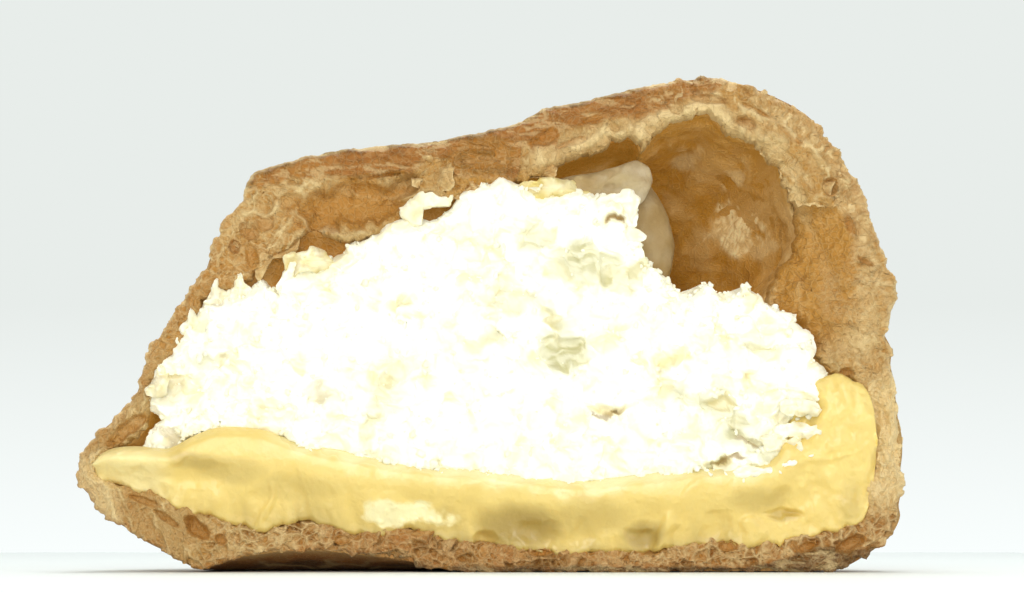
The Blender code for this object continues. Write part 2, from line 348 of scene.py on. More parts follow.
# %% [markdown]
# ## Bubbles, pockets and torn edges of the cut face
#
# The knife opened the crumb, and each part of the wall tore in its own way. The base is foam: thin
# walls round open cells, which cell noise gives where the nearest and the second nearest point are
# equally far. The right wall pulled into fine strands, which ridged noise gives: one less the size
# of a swell, raised to a power. The roof is dense crust with short streaks. The few large pockets
# that the real piece shows have their own places, as ellipses that go in steeply at the rim. Brown
# crust, pale membranes and deep amber places are kept as numbers on the points, and the finish turns
# them into colour. The brown in the pits of the base and in the gaps between strands is partly
# painted shade, the amber is partly painted light, and a pale line along the crust edge is a painted
# highlight. A glow number paints light as well.


# %% Foam, strands, ellipses and lines
def foam(at, size, salt):
    """Depth of open cells, and the thin walls between them, from 0 to 1.

    A wall stands where the two nearest points are equally far. A cell is a bowl, and some are shut.
    """
    near, second, number = cells(at, size, salt)
    wall = np.exp(-(((second - near) / 0.15) ** 2))
    opened = soft_step((number - 0.2) * 3)
    bowl = opened * (1 - wall) * (0.3 + 0.7 * np.clip(1 - (near / 0.8) ** 2, 0, 1))
    return size * 0.62 * bowl, wall * (0.4 + 0.6 * opened)


def strands(at, size, octaves, salt):
    """Ridged noise from 0 to 1: each octave is one less the size of a swell, to the third power."""
    total = sum((1 - np.abs(swell(at, size / 2**k, salt + k))) ** 3 * 0.6**k for k in range(octaves))
    return total / sum(0.6**k for k in range(octaves))


def ellipse(x, z, spot):
    """One at the middle of a tilted ellipse, nought on its rim, and less outside it."""
    middle_x, middle_z, half_x, half_z, tilt = spot
    turn = math.radians(tilt)
    along = (x - middle_x) * math.cos(turn) + (z - middle_z) * math.sin(turn)
    up = (z - middle_z) * math.cos(turn) - (x - middle_x) * math.sin(turn)
    return 1 - (along / half_x) ** 2 - (up / half_z) ** 2


def spotted(x, z, spots, grow, sharp):
    """How strong the strongest spot is at each place. grow widens a spot, and sharp hardens its rim."""
    total = np.zeros_like(x)
    for spot, strength in spots:
        total = np.maximum(total, strength * soft_step((ellipse(x, z, spot) + grow) * sharp))
    return total


def to_line(x, z, points):
    """Distance from each place to a line of straight pieces: the least over its pieces."""
    best = np.full(np.shape(x), 1e3)
    for (ax, az), (bx, bz) in zip(points, points[1:]):
        run, rise = bx - ax, bz - az
        part = np.clip(((x - ax) * run + (z - az) * rise) / (run**2 + rise**2), 0, 1)
        best = np.minimum(best, np.hypot(x - ax - part * run, z - az - part * rise))
    return best


# %% Pockets, lips, and where the crust ends
# Pockets in the dough: (x, z, half length, half height, tilt in degrees), depth, brown, amber.
POCKETS = [
    ((-14.6, 38.1, 7.6, 2.7, 9), 2.3, 1.0, 0.7),  # the long bubble of the roof
    ((-9.4, 39.8, 3.0, 1.5, 24), 2.2, 0.1, 0.25),
    ((-20.9, 38.5, 1.8, 1.0, 12), 0.9, 0.1, 0.4),
    ((-12.2, 41.2, 3.6, 0.25, 7), 1.2, 1.0, 0.7),
    ((-25.2, 35.4, 1.3, 0.9, -40), 1.0, 0.5, 0.3),
    ((-23.5, 36.3, 1.4, 1.1, -25), 1.1, 0.4, 0.4),
    ((-26.7, 33.7, 0.8, 1.0, 10), 1.3, 0.9, 0.3),
    ((-24.9, 32.6, 0.9, 1.6, 12), 0.8, 0.3, 0.6),
    ((5.7, 45.2, 1.9, 1.0, 20), 0.8, 0.6, 0.3),
    ((8.6, 44.7, 2.4, 0.45, 18), 0.9, 0.9, 0.4),
    ((10.6, 47.1, 1.5, 0.5, 18), 0.5, 0.5, 0.3),
    ((15.6, 47.4, 0.9, 0.5, 0), 0.5, 0.4, 0.3),
    ((22.6, 49.1, 2.2, 0.6, -6), 0.5, 0.3, 0.2),
    ((26.5, 46.6, 1.2, 0.7, -22), 1.0, 0.5, 0.8),
    ((27.6, 48.0, 1.9, 0.35, -26), 0.6, 0.5, 0.5),
    ((31.2, 45.4, 1.8, 0.4, -38), 0.6, 0.5, 0.5),
    ((35.5, 40.0, 1.0, 1.3, -8), 1.2, 0.7, 0.4),
    ((37.4, 36.0, 0.5, 1.6, 20), 0.9, 0.7, 0.3),
    ((38.9, 32.2, 1.2, 0.35, -30), 1.0, 0.8, 0.3),
    ((36.9, 20.5, 0.9, 0.7, 0), 0.9, 0.6, 0.4),
    ((37.1, 2.9, 1.9, 1.0, 22), 1.6, 0.9, 0.4),
    ((32.6, 2.6, 1.1, 0.6, 20), 1.0, 0.7, 0.4),
    ((24.7, 2.7, 1.3, 0.6, 0), 1.0, 0.6, 0.4),
    ((16.2, 2.6, 1.6, 0.9, 0), 1.7, 0.6, 0.6),
    ((5.0, 2.0, 1.5, 0.4, 0), 1.0, 0.8, 0.4),
    ((-7.2, 4.1, 1.4, 0.5, 8), 1.0, 0.8, 0.5),
    ((-15.4, 3.3, 1.0, 0.6, 0), 0.9, 0.5, 0.4),
    ((-27.8, 3.4, 0.8, 0.7, 0), 1.0, 0.8, 0.5),
    ((-30.4, 4.6, 1.8, 1.0, -45), 1.8, 0.8, 0.5),
    ((-35.9, 7.4, 2.2, 0.45, -18), 0.9, 0.4, 0.4),
    ((-38.0, 14.5, 3.0, 0.9, 40), 1.3, 0.6, 0.5),
    ((-33.6, 5.6, 1.8, 0.4, -35), 0.9, 0.4, 0.4),
]
# Pale lips and membranes that stand out of the face: their line, width and height.
LIPS = [
    ([(15.6, 45.3), (17.0, 46.4), (19.2, 47.4), (21.5, 48.1), (23.4, 48.0), (25.2, 46.5), (27.4, 45.5),
      (29.4, 44.2)], 1.0, 1.0),
    ([(16.2, 47.0), (18.6, 47.8), (20.6, 48.5), (22.4, 49.3), (23.2, 50.0)], 0.5, 0.3),
    ([(26.2, 48.4), (28.4, 47.2), (30.4, 46.3), (31.8, 45.4)], 0.5, 0.35),
    ([(33.2, 44.2), (34.4, 42.2), (35.8, 41.8)], 0.4, 0.35),
    ([(-23.2, 40.0), (-21.6, 39.7), (-20.2, 40.2), (-18.3, 40.6)], 0.3, 0.3),
    ([(-20.2, 37.0), (-18.8, 35.9), (-16.8, 35.1), (-15.5, 34.7), (-13.6, 34.9), (-10.5, 35.5)],
     0.3, 0.5),
    ([(5.4, 43.4), (8.0, 43.9), (10.0, 44.6), (12.2, 45.4), (14.4, 46.0)], 0.8, 0.5),
    ([(15.7, 44.2), (16.0, 45.2), (16.6, 46.2)], 0.35, 0.5),
    ([(-28.0, 35.4), (-26.8, 35.9), (-25.6, 36.6)], 0.25, 0.3),
    ([(-25.6, 37.0), (-24.4, 37.8), (-23.2, 37.4), (-22.2, 38.4)], 0.3, 0.35),
    ([(37.4, 34.6), (38.6, 33.8), (39.4, 34.4)], 0.25, 0.3),
]
# The lower edge of the brown crust along the roof: x and z.
CRUST_EDGE = [
    (-26, 39.8), (-23, 40.2), (-20, 41.0), (-16, 41.2), (-12, 41.4), (-8.4, 41.9), (-6, 43.1),
    (-4.2, 43.2), (-3.8, 41.4), (2.8, 40.8), (3.2, 44.6), (3.9, 44.8), (4.3, 43.8), (6.8, 43.9),
    (7.3, 46.0), (10, 46.2), (12, 47.3), (14, 47.8), (16, 47.3), (18, 48.3), (20, 48.9), (22, 49.4),
    (23.4, 50.2), (24.4, 51.4), (44, 52),
]
RED_STREAKS = (-0.6, 43.0, 4.0, 2.4, 5)  # the browned, streaky part in the middle of the roof


# %% The torn crumb
def crust_brown(x, z, from_crust):
    """How brown the cut face is: the thick crust of the roof, or a thin skin elsewhere."""
    edge = np.interp(x, *zip(*CRUST_EDGE))
    wander = 0.35 * rough(at_cut(x, z), 1.6, 3, 11)
    roof = soft_step((z - edge + wander) / 0.9 + 0.7) * (z > 38)
    skin = np.exp(-((from_crust / 0.6) ** 2)) * (1 - 0.6 * past(x, 14, 6))
    outer = soft_step((1.7 + wander - from_crust) / 0.8) * past(x, 18, 5) * past(z, 36, 6)
    foot = 0.95 + 2.0 * past(x, 26, 8)
    burnt = soft_step((foot + 0.7 * wander - z) / 0.9) * past(x, -4, 8)
    return np.clip(0.85 * roof + 0.6 * skin + 0.3 * outer + 1.3 * burnt, 0, 1.5)


def crumb_parts(x, z):
    """How far each place belongs to the base, the left, the right, the roof and the torn shoulder."""
    right = past(x, 14, 8) * past(z, 5, 3)
    base = before(z, 7.5, 2.5) * past(x, -32, 5)
    left = before(x, -27, 4) * before(z, 22, 4)
    return base, left, right, past(z, 36, 4) * (1 - right), before(x, -16, 4) * past(z, 21, 4)


def torn_crumb(x, z, from_crust, from_hollow, warp):
    """Bubbles, strands, swirls, short flecks and a broad, soft change of tone.

    It gives the tone, how dense the crumb is, its pits and depth, and brown, pale and amber numbers.
    """
    flat = at_cut(x, z)
    bent = flat + warp
    round_middle = at_cut(np.arctan2(z - 20, x - 2) * 24, np.hypot(z - 20, x - 2) * 2.2) + 1.3 * warp
    thick = soft_step((from_crust + from_hollow) / 3)
    base, left, right, roof, shoulder = crumb_parts(x, z)
    brown = crust_brown(x, z, from_crust)
    dense = soft_step(brown * 1.2)
    loose = 1 - dense

    big, big_wall = foam(bent, 1.35, 21)
    middle, middle_wall = foam(bent, 0.72, 22)
    small, small_wall = foam(bent, 0.4, 23)
    pull = strands(round_middle, 2.6, 4, 24)
    swirl = strands(flat + 2.6 * warp, 1.9, 3, 28)
    flecks = rough(at_cut(x * 0.45 + z * 0.1, z * 1.6) + 0.5 * warp, 0.8, 3, 34)
    tone = rough(flat + 1.5 * warp, 3.4, 3, 38) * (1 - right)
    tone = tone + right * rough(round_middle * [0.8, 1.0, 0.9], 3.0, 4, 39)
    bits = rough(bent, 0.55, 2, 40)
    calm = right * before(from_hollow, 4.2, 2.4) * past(z, 35, 5)

    foamy = (0.9 * big + 0.75 * middle) * base + (0.2 * big + 0.35 * middle) * right * (1 - 0.8 * calm)
    foamy = foamy + (0.4 * middle * roof + 0.35 * middle * shoulder) * loose
    pits = thick * foamy * (1 - 0.75 * dense) + (0.3 + 0.5 * thick) * 0.55 * small * (1 - 0.4 * dense)
    ridges = pull * (0.9 * left + 0.3 * base + 0.6 * shoulder)
    ridges = ridges + 0.8 * swirl * (right + 0.8 * roof * loose + 0.25 * left)
    gaps = np.clip(0.45 - ridges, 0, 1)
    deep = 0.85 * (1 - ridges) * soft_step(thick * 1.4) * (1 - 0.6 * dense) * (1 - 0.5 * calm)
    deep = deep + 0.35 * flecks * dense - 0.7 * tone * right

    # Pale: the thin walls and strands, flecks of the crust, and crumbs sprinkled under it.
    lines = past(swirl, 0.5, 0.22) * (0.6 * right + 0.7 * roof) * (1 - 0.8 * dense)
    walls = np.maximum(big_wall * base, 0.8 * middle_wall * (base + 0.3 * right + 0.8 * shoulder))
    walls = thick * walls + 0.3 * small_wall
    pale = 0.65 * walls * (1 - 0.8 * dense) + 0.4 * lines
    pale = pale + 2.2 * np.clip(pull - 0.48, 0, 1) * (left + shoulder * loose)
    pale = pale + 0.22 * soft_step(0.3 - 1.6 * tone) * right * (1 - 0.7 * dense)
    pale = pale + dense * (0.4 * soft_step((flecks - 0.25) * 4) + 0.25 * small_wall * soft_step(tone * 2))
    streaky = soft_step((ellipse(x, z, RED_STREAKS) + 0.3) * 1.2)
    pale = pale * (1 - 0.6 * streaky)
    pale = pale * (1 - 0.4 * base * before(x, 16, 8) * past(x, -20, 10))
    sprinkled = np.exp(-(((from_crust - 2.0) / 1.3) ** 2)) * right * past(z, 30, 10)
    pale = pale * (1 - 0.5 * calm) + 0.3 * calm * soft_step(0.4 - 2 * tone)
    pale = pale + 0.5 * (sprinkled + 0.4 * right) * soft_step((bits - 0.45) * 5)

    # Brown in the dark flecks, the base and the gaps between strands; in the pits of the base and in
    # the gaps it is partly painted shade. Amber in the pits and the gaps, partly painted light.
    brown = brown + 0.3 * dense * soft_step((-flecks - 0.25) * 4)
    brown = brown + base * (0.6 + 0.3 * before(x, 16, 8)) * past(x, -24, 12) + 0.35 * streaky
    brown = brown + np.clip(pits, 0, 1) * 0.5 * base + gaps * 0.8 * (left + shoulder)
    brown = brown + 0.35 * shoulder * before(z, 36, 4)
    amber = np.clip(pits / 0.5, 0, 1) * 0.8
    amber = amber + soft_step(1.6 * tone + 0.25) * (0.5 * right + 0.75 * roof) * loose
    amber = amber * (1 - 0.4 * base) + 0.5 * streaky
    amber = amber + 1.2 * gaps * (0.5 * left + 0.6 * right + 1.2 * shoulder)
    return tone, dense, pits, deep, brown, pale, amber


# %% [markdown]
# ## What interrupts the crumb
#
# At the right, under the bubble, the inner wall of the hollow shows beside the cut: it slopes in,
# smooth and amber, and ends in threads above the custard. Elsewhere large pockets opened, with a
# smooth, folded lining, and pale lips of dough stand out where bubbles tore. Each of these replaces
# the crumb by how far a place lies inside it, so the parts melt into each other with no seam.


# %% The slope at the right
def inner_slope(x, z, from_hollow, warp, tone, dense, pits, deep, brown, pale, amber):
    """The inner wall at the right slopes in, smooth, with threads like a curtain where it ends.

    It gives how far each place belongs to the slope, then the five numbers changed by it.
    """
    slope = past(x, 26, 2) * before(z, 38.6, 1.5) * past(z, 21.5, 3)
    shelf = np.clip(1 - from_hollow / (7.2 - 4.0 * before(z, 24, 4)), 0, 1)
    side_wall = slope * shelf
    smooth = soft_step(side_wall * 2.5)
    curtain = strands(at_cut(x * 1.5, z * 0.3, side_wall) + 0.6 * warp, 1.3, 3, 49)
    lower = before(z, 32.5, 3)
    pits = pits * (1 - 0.9 * smooth)
    deep = deep * (1 - 0.6 * smooth) + 4.2 * slope * shelf**1.4
    deep = deep + slope * (1 - curtain) * shelf * (0.3 + lower)
    threads = past(curtain, 0.45, 0.25) * soft_step((side_wall - 0.3) * 4)
    threads = threads * before(z, 31.5, 2) * past(z, 24, 2)
    pale = pale * (1 - 0.7 * smooth)
    pale = pale + smooth * (0.4 * threads + 0.4 * lower * past(x, 33.5, 4) + 0.1 * soft_step(-2 * tone))
    amber = np.maximum(amber * (1 - smooth), smooth * (0.8 - 0.6 * lower * past(x, 32, 5) + 0.4 * tone))
    pale = pale + 0.08 * past(x, 35.5, 3) * before(z, 38, 8) * past(z, 5, 4) * (1 - 0.5 * dense)

    # A browned cheek above the slope's foot, and pale thin places at the corner and the left tip.
    cheek = before(x, 38.5, 2) * past(x, 29, 2) * past(z, 23, 3) * before(z, 37, 3)
    pale, amber, brown = pale * (1 - 0.6 * cheek), amber + 0.4 * cheek, brown + 0.35 * cheek
    brown = brown + 0.3 * past(x, 34, 3) * past(z, 26, 4) * before(z, 44, 4)
    corner = past(x, 33, 3) * before(z, 22, 5) * past(z, 5, 4)
    tip = before(x, -37.5, 2) * before(z, 13, 2)
    pale = pale + (0.75 * corner + 0.6 * tip) * (1 - 0.5 * dense)
    return side_wall, pits, deep, brown, pale, amber


# %% Pockets
def open_pockets(x, z, warp, pits, deep, brown, pale, amber):
    """Each pocket is a bowl, the root of its ellipse, with a ragged rim and a folded lining.

    It gives the depth of the bowls and where they are, then the five numbers changed by them.
    """
    inside, hollows, gold = np.zeros_like(x), np.zeros_like(x), np.zeros_like(x)
    ragged = 0.35 * rough(at_cut(x, z) + warp, 1.3, 3, 31)
    for spot, depth, toast, amount in POCKETS:
        even = ellipse(x, z, spot)
        bowl = even + ragged
        hollows = np.maximum(hollows, depth * np.sqrt(np.clip(even + 0.3, 0, 1)) * soft_step(bowl * 1.5))
        within = soft_step(bowl * 2.5)
        inside = np.maximum(inside, within)
        brown = brown + toast * within * (1 - brown) * 0.7
        gold = np.maximum(gold, amount * within)
    folds = strands(at_cut(x * 0.6 + z * 0.1, z * 1.2, hollows * 0.4) + 0.8 * warp, 3.0, 3, 44)
    pits = pits * (1 - 0.96 * inside) + inside * 0.3 * (1 - folds)
    pale = pale * (1 - 0.9 * inside) + inside * 0.6 * np.clip(folds - 0.45, 0, 1)
    deep, amber = deep * (1 - 0.85 * inside), np.maximum(amber * (1 - inside), gold)
    return hollows, inside, pits, deep, brown, pale, amber


# %% The whole relief
def cut_relief(x, z, from_crust, from_hollow):
    """Depth of the cut face behind the cut plane, with its brown, pale, amber and glow numbers.

    The crumb comes first, then the slope and the pockets. Lips are ridges round their lines, which
    wander and fade along their length. Both edges of the wall are rounded off.
    """
    flat = at_cut(x, z)
    warp = 0.5 * at_cut(rough(flat, 1.7, 3, 5), rough(flat, 1.7, 3, 9))
    tone, dense, *look = torn_crumb(x, z, from_crust, from_hollow, warp)
    side_wall, *look = inner_slope(x, z, from_hollow, warp, tone, dense, *look)
    hollows, inside, pits, deep, brown, pale, amber = open_pockets(x, z, warp, *look)
    lift = np.zeros_like(x)
    fade = 0.45 + 0.55 * soft_step(1.4 * rough(flat, 1.5, 2, 47) + 0.6)
    for points, width, height in LIPS:
        away = to_line(x + 1.1 * warp[..., 0], z + 1.1 * warp[..., 2], points)
        near = np.exp(-((away / width) ** 2)) * fade
        lift = np.maximum(lift, height * near)
        pale = np.maximum(pale, 0.75 * near)
    # Painted highlight: a pale line along the crust edge of the cut face, with a glow on it.
    rim = np.exp(-((from_crust / 0.32) ** 2)) * past(z, 8, 6)
    pale = pale + 0.45 * rim
    pits = pits * (1 - 0.8 * np.clip(lift / 0.4, 0, 1))
    amber = amber * (1 - np.clip(lift / 0.3, 0, 1))
    uneven = 0.5 * rough(flat, 5.0, 3, 41) + 0.12 * rough(flat, 0.7, 2, 46)
    round_out = 0.8 * np.clip(1 - from_crust / 0.8, 0, 1) ** 2
    round_in = 0.6 * np.clip(1 - from_hollow / 0.7, 0, 1) ** 2
    # Painted light: a glow in the pockets, on the slope, in amber places, on the rim and on the lips.
    glow = 0.12 * inside + 0.15 * side_wall + 0.08 * amber + 0.2 * rim + 0.25 * np.clip(lift, 0, 1)
    marks = {"brown": np.clip(brown, 0, 1.6), "pale": np.clip(pale, 0, 1)}
    marks |= {"amber": np.clip(amber, 0, 1), "glow": np.clip(glow, 0, 1)}
    return hollows + pits + deep - lift + uneven + round_out + round_in, marks


# %% The cut face, closed behind
# Round the back of the wall: grid column, shift towards the hollow, shift for each mm back, mm back.
BACK_EDGES = ((-1, 0.15, 0, 1.2), (-1, -0.35, 0, 3.0), (0, 0.2, 0.3, 3.0), (0, 0.1, 0.3, 1.2))


def cut_face(name, first, last):
    """Points between crust and hollow, pushed back by the relief, then round the back of the wall.

    The piece runs from station first to station last, and a flat end closes it at both.
    """
    spokes = np.roll(ring, -first, axis=0)[: (last - first) % STATIONS + 1]
    outer, inner = spokes[:, None, :2], spokes[:, None, 2:]
    part = np.linspace(0, 1, ACROSS)[None, :, None]
    place = outer + (inner - outer) * part
    width = np.linalg.norm(inner - outer, axis=-1)
    from_crust, from_hollow = width * part[..., 0], width * (1 - part[..., 0])
    flat = at_cut(place[..., 0], place[..., 1])
    shift = drifts(flat, 0.9, 4, (51, 61))
    calm = past(place[..., 1], 34, 6) * before(place[..., 0], 20, 6) * before(from_crust, 1.5, 1.5)
    place = place + (0.3 - 0.2 * calm)[..., None] * shift
    x, z = place[..., 0], np.maximum(place[..., 1], 0.0)
    depth, marks = cut_relief(x, z, from_crust, from_hollow)
    front = at_cut(x, z, CUT + depth)
    to_inner = (inner - outer)[:, 0] / width
    behind = []
    for column, inwards, slant, back in BACK_EDGES:
        edge = front[:, column]
        far = np.maximum(np.maximum(edge[:, 1], CUT), front[..., 1].max(axis=1) - 1) + back
        moved = edge + at_cut(to_inner[:, 0], to_inner[:, 1]) * (inwards + slant * (far - CUT))[:, None]
        moved[:, 1] = far
        moved[:, 2] = np.maximum(moved[:, 2], 0.0)
        behind.append(moved)
    points = np.concatenate([front, np.stack(behind, axis=1)], axis=1)
    rim = {label: values[:, [-1, -1, 0, 0]] for label, values in marks.items()}
    marks = {label: np.concatenate([values, rim[label]], axis=1) for label, values in marks.items()}
    rows, columns = points.shape[:2]
    faces = quads(rows, columns, tube=True)
    return make_piece(name, points, faces, "choux_shell", marks, tube_ends(rows, columns))


def station_at(x, z):
    """The station whose crust is nearest to a place."""
    return int(np.argmin(np.hypot(ring[:, 0] - x, ring[:, 1] - z)))


left_foot, right_foot, left_shoulder = station_at(-41.3, 7.9), station_at(41.2, 3.7), station_at(-3.0, 45)
choux_base = cut_face("choux_cut_base", right_foot, left_foot)
choux_left = cut_face("choux_cut_left", left_foot, left_shoulder)
choux_right = cut_face("choux_cut_right", left_shoulder, right_foot)

# %% [markdown]
# ## Crust and lining
#
# Behind the cut face the shell is like a bowl on its side: the crust outside and the lining of the
# hollow inside. Both are swept from the ring. As the sweep goes back, the outline shrinks towards a
# pole at the back of the puff, by a power of the cosine of the sweep's angle, while the depth grows
# with its sine. A power under one keeps the back full. Each is closed by a plain second side, which
# nothing shows.


# %% A bowl swept from an outline
CRUST_POLE = (0.0, 9.6)
LINING_POLE = (2.0, 15.0)
BASE_FLAT = 0.72  # how far down the cosine the base stays on the table


def swept(outline, pole, reach, power, angles):
    """Points of an outline carried back: x and z shrink to the pole, y grows to the reach."""
    fall = np.cos(angles)[None, :]
    x, z = outline[:, :1], outline[:, 1:]
    shrink = fall**power
    low = 1 - (1 - np.minimum(1, fall / BASE_FLAT)) ** 1.6
    swept_x = pole[0] + (x - pole[0]) * fall**0.94
    swept_z = pole[1] + (z - pole[1]) * np.where(z > pole[1], shrink, low)
    return np.stack([swept_x, CUT + reach * np.sin(angles)[None, :] + 0 * x, swept_z], axis=-1)


def sweep_angles(count):
    """Even angles from the rim to just before the pole, a quarter turn in all."""
    return np.linspace(0, 1, count + 1)[:-1] * math.pi / 2


def beside(spokes, thickness):
    """The outline a little way along each spoke, at most a third of it."""
    run = spokes[:, 2:] - spokes[:, :2]
    length = np.linalg.norm(run, axis=1, keepdims=True)
    return spokes[:, :2] + run * np.minimum(thickness / length, 0.33)


def bowl_piece(name, fine, plain, poles, marks):
    """A closed shell from its showing side and a plain one, each a grid from the rim to its pole."""
    grid = np.concatenate([plain[:, ::-1], fine], axis=1)
    rows, columns = grid.shape[:2]
    points = np.vstack([grid.reshape(-1, 3), poles[1], poles[0]])
    faces, ends = ball_faces(rows, columns)
    spread = {}
    for label, values in marks.items():
        whole = np.concatenate([np.repeat(values[:, :1], plain.shape[1], axis=1), values], axis=1)
        spread[label] = np.append(whole.ravel(), [values[:, -1].mean()] * 2)
    return make_piece(name, points, faces, "choux_shell", spread, ends.tolist())


def outwards(grid):
    """Unit normals of a grid that is a ring along its rows, from the steps to its neighbours."""
    along = np.roll(grid, -1, axis=0) - np.roll(grid, 1, axis=0)
    across = np.gradient(grid, axis=1)
    normal = np.cross(along, across)
    return normal / np.maximum(np.linalg.norm(normal, axis=-1, keepdims=True), 1e-9)


# %% The crust
CRUST_GRID = (620, 128)
CRUST_START = 1.5
CRUST_POWER = 0.66
PLAIN_SIDE = 8


def settle_arch(grid):
    """The base is arched only at the cut: low places sink to the table as the depth grows."""
    z = grid[..., 2]
    low = before(z, 4.5, 2) * soft_step((grid[..., 1] - CUT) / 13)
    grid[..., 2] = z - z * low * (np.abs(grid[..., 0]) < 31)


def crust_swells(at):
    """How far the crust stands out: broad swells and ripples, and one fold that runs over it."""
    x, y, z = at[..., 0], at[..., 1] - CUT, at[..., 2]
    broad = np.sin(x / 7.1 + 0.7) * np.sin(y / 6.3 + 0.4) * np.cos(z / 8.2)
    ripple = np.sin(x / 3.7 - y / 5.1) * np.cos(z / 4.4 + x / 9.0)
    fold = -np.exp(-(((x + 0.35 * y - 4 + 3 * np.sin(y / 7)) / 2.2) ** 2))
    return 0.9 * broad + 0.45 * ripple + 1.1 * fold


def crust():
    """The outside: swells, blisters, wrinkles and a few broken cracks laid on the swept outline.

    Cracks run where two points of warped cell noise are equally far, and wrinkles are strands.
    """
    spokes = ring_spokes(CRUST_GRID[0])
    angles = sweep_angles(CRUST_GRID[1])
    grid = swept(spokes[:, :2], CRUST_POLE, DEPTH - CRUST_START - 0.3, CRUST_POWER, angles)
    grid[..., 1] += CRUST_START
    settle_arch(grid)
    normal = outwards(grid)
    y, z = grid[..., 1] - CUT, grid[..., 2]
    from_cut = soft_step((y - CRUST_START) / 8)
    off_table = past(z, 0.5, 6)
    blister, _, number = cells(grid + 0.5 * rough(grid, 3, 2, 71)[..., None], 3.4, 72)
    drift = drifts(grid, 5, 3, (73, 74, 77))
    near, second, _ = cells(grid + 3.4 * drift, 12.0, 74)
    opened = soft_step(0.55 + 1.6 * rough(grid, 11, 2, 78))
    crack = np.exp(-(((second - near) / 0.05) ** 2)) * opened
    wrinkles = strands(grid * [1.0, 1.0, 1.5] + 1.6 * drift, 3.0, 4, 79)
    small = rough(grid, 1.6, 3, 75)
    out = from_cut * off_table * (crust_swells(grid) * 0.9 - 0.9 * crack - 0.45 * (1 - wrinkles))
    out = out + past(y, 1, 3) * (0.35 * (0.6 - blister) * number + 0.16 * small) * off_table - 0.12
    grid = grid + normal * out[..., None]
    grid[..., 2] = np.maximum(grid[..., 2], 0.0)
    toast = 0.55 + 0.5 * rough(grid, 9, 4, 76) + 0.35 * past(z, 22, 20) - 0.4 * before(y, 6, 4)
    toast = toast + from_cut * (0.5 * (wrinkles - 0.35) + 0.2 * small)
    burnt = before(grid[..., 2], 3.2, 3.0) * 0.8
    pale = from_cut * (0.55 * crack + 0.25 * np.clip(0.3 - wrinkles, 0, 1))
    marks = {"brown": np.clip(toast + burnt, 0, 1.4), "pale": pale}
    marks |= {"amber": 0.4 * crack * from_cut, "glow": 0 * crack}
    plain = swept(beside(spokes, 0.8), CRUST_POLE, DEPTH - 2.2, CRUST_POWER, sweep_angles(PLAIN_SIDE))
    plain[..., 1] += CRUST_START + 0.1
    settle_arch(plain)
    plain[..., 2] = np.maximum(plain[..., 2], 0.25)
    back = CUT + DEPTH
    poles = [(CRUST_POLE[0], back - 0.3, CRUST_POLE[1]), (CRUST_POLE[0], back - 1.6, CRUST_POLE[1])]
    return bowl_piece("choux_crust", grid, plain, poles, marks)


choux_crust = crust()


# %% [markdown]
# ## The lining of the hollow
#
# Steam baked the inside, so it is smoother than the crumb: honey brown, wrinkled, with a pale patch
# where the wall is as thin as paper and its strings show. Daylight comes through the thin shell, and
# a glow number kept on the points paints that light in. The right side near the cut has pale
# threads, and is painted paler where light falls on it. Under the left of the roof the lining hangs
# close behind the cut, which a bulge of the same surface gives, and is painted browner there, as
# painted shade. A dark pocket behind the lobe of cream is painted shade, with a deep glow in it.

# %% The lining
LINING_GRID = (560, 120)
LINING_REACH = 36.5
LINING_START = 2.3
LINING_DEEPER = 4.4  # how much further back it starts where the inner wall slopes in
LINING_POWER = 0.8
# Painted shade: the dark brown place under the lobe of the roof, which also glows more.
ROOF_SHADE = (10.0, 43.6, 6.5, 2.0, 18)  # the dark brown place under the lobe of the roof
PATCH = (27.0, 37.6, 3.4, 3.1, -35)  # the pale, stringy thin patch of the back wall
PALE_SPOTS = [
    ((26.4, 42.6, 1.3, 1.0, 0), 0.4), ((29.8, 35.0, 1.6, 1.1, 20), 0.4),
    ((21.6, 45.0, 2.0, 1.0, 10), 0.4),
]


def lining_looks(grid, y, edge, wrinkles, under_roof):
    """Brown, pale, amber and glow numbers: a mottled glow of painted light, a stringy patch, a paler
    right side of painted light, and painted shade under the roof and in its pocket.
    """
    x, z = grid[..., 0], grid[..., 2]
    ragged = 0.5 * rough(grid, 1.7, 3, 85)
    back = past(y, 8, 4)
    inside = soft_step((ellipse(x, z, PATCH) + ragged) * 1.6) * back
    turned = np.stack([x + 0.45 * z, y, 0.3 * z - 0.2 * x], axis=-1)
    threads = strands(turned + 0.35 * rough(grid, 1.2, 2, 90)[..., None], 0.8, 3, 89)
    # Painted light: the right side near the cut is paler and less amber, with pale threads on it.
    side = soft_step((x - 25.5 - 0.3 * (z - 28)) / 4) * before(y, 18, 9)
    mottle, fine = rough(grid, 4, 4, 86), rough(grid, 1.3, 3, 77)
    pale = inside * (0.25 + 0.65 * past(threads, 0.3, 0.4)) + 0.06 * edge + 0.25 * side * (threads + 0.2)
    pale = pale + 0.2 * np.clip(wrinkles - 0.45, 0, 1) + 0.12 * soft_step(mottle * 2 - 0.4)
    pale = np.clip(np.maximum(pale, spotted(x, z, PALE_SPOTS, ragged, 1.5) * back), 0, 1)
    # Painted shade: browner under the roof and in the roof pocket, with less amber and pale there.
    brown = 0.12 + 0.3 * mottle + 0.3 * np.clip(0.45 - wrinkles, 0, 1) + 0.8 * under_roof * before(y, 20, 6)
    pocket = soft_step((ellipse(x, z, ROOF_SHADE) + 0.4 * ragged + 0.3) * 2) * before(y, 14, 5)
    amber = 1 - 0.5 * side - 0.15 * mottle - 0.3 * under_roof - pocket
    # Painted light: a glow over the whole lining, less under the roof and more in the roof pocket.
    glow = 0.8 + 0.35 * mottle + 0.25 * fine - 0.6 * under_roof * before(y, 24, 8)
    glow = glow + 0.3 * inside + 0.7 * pocket
    return {
        "brown": np.clip(np.clip(brown, 0, 1) + pocket, 0, 0.98), "pale": pale * (1 - pocket),
        "amber": np.clip(amber, 0, 1), "glow": np.clip(glow, 0, 1),
    }


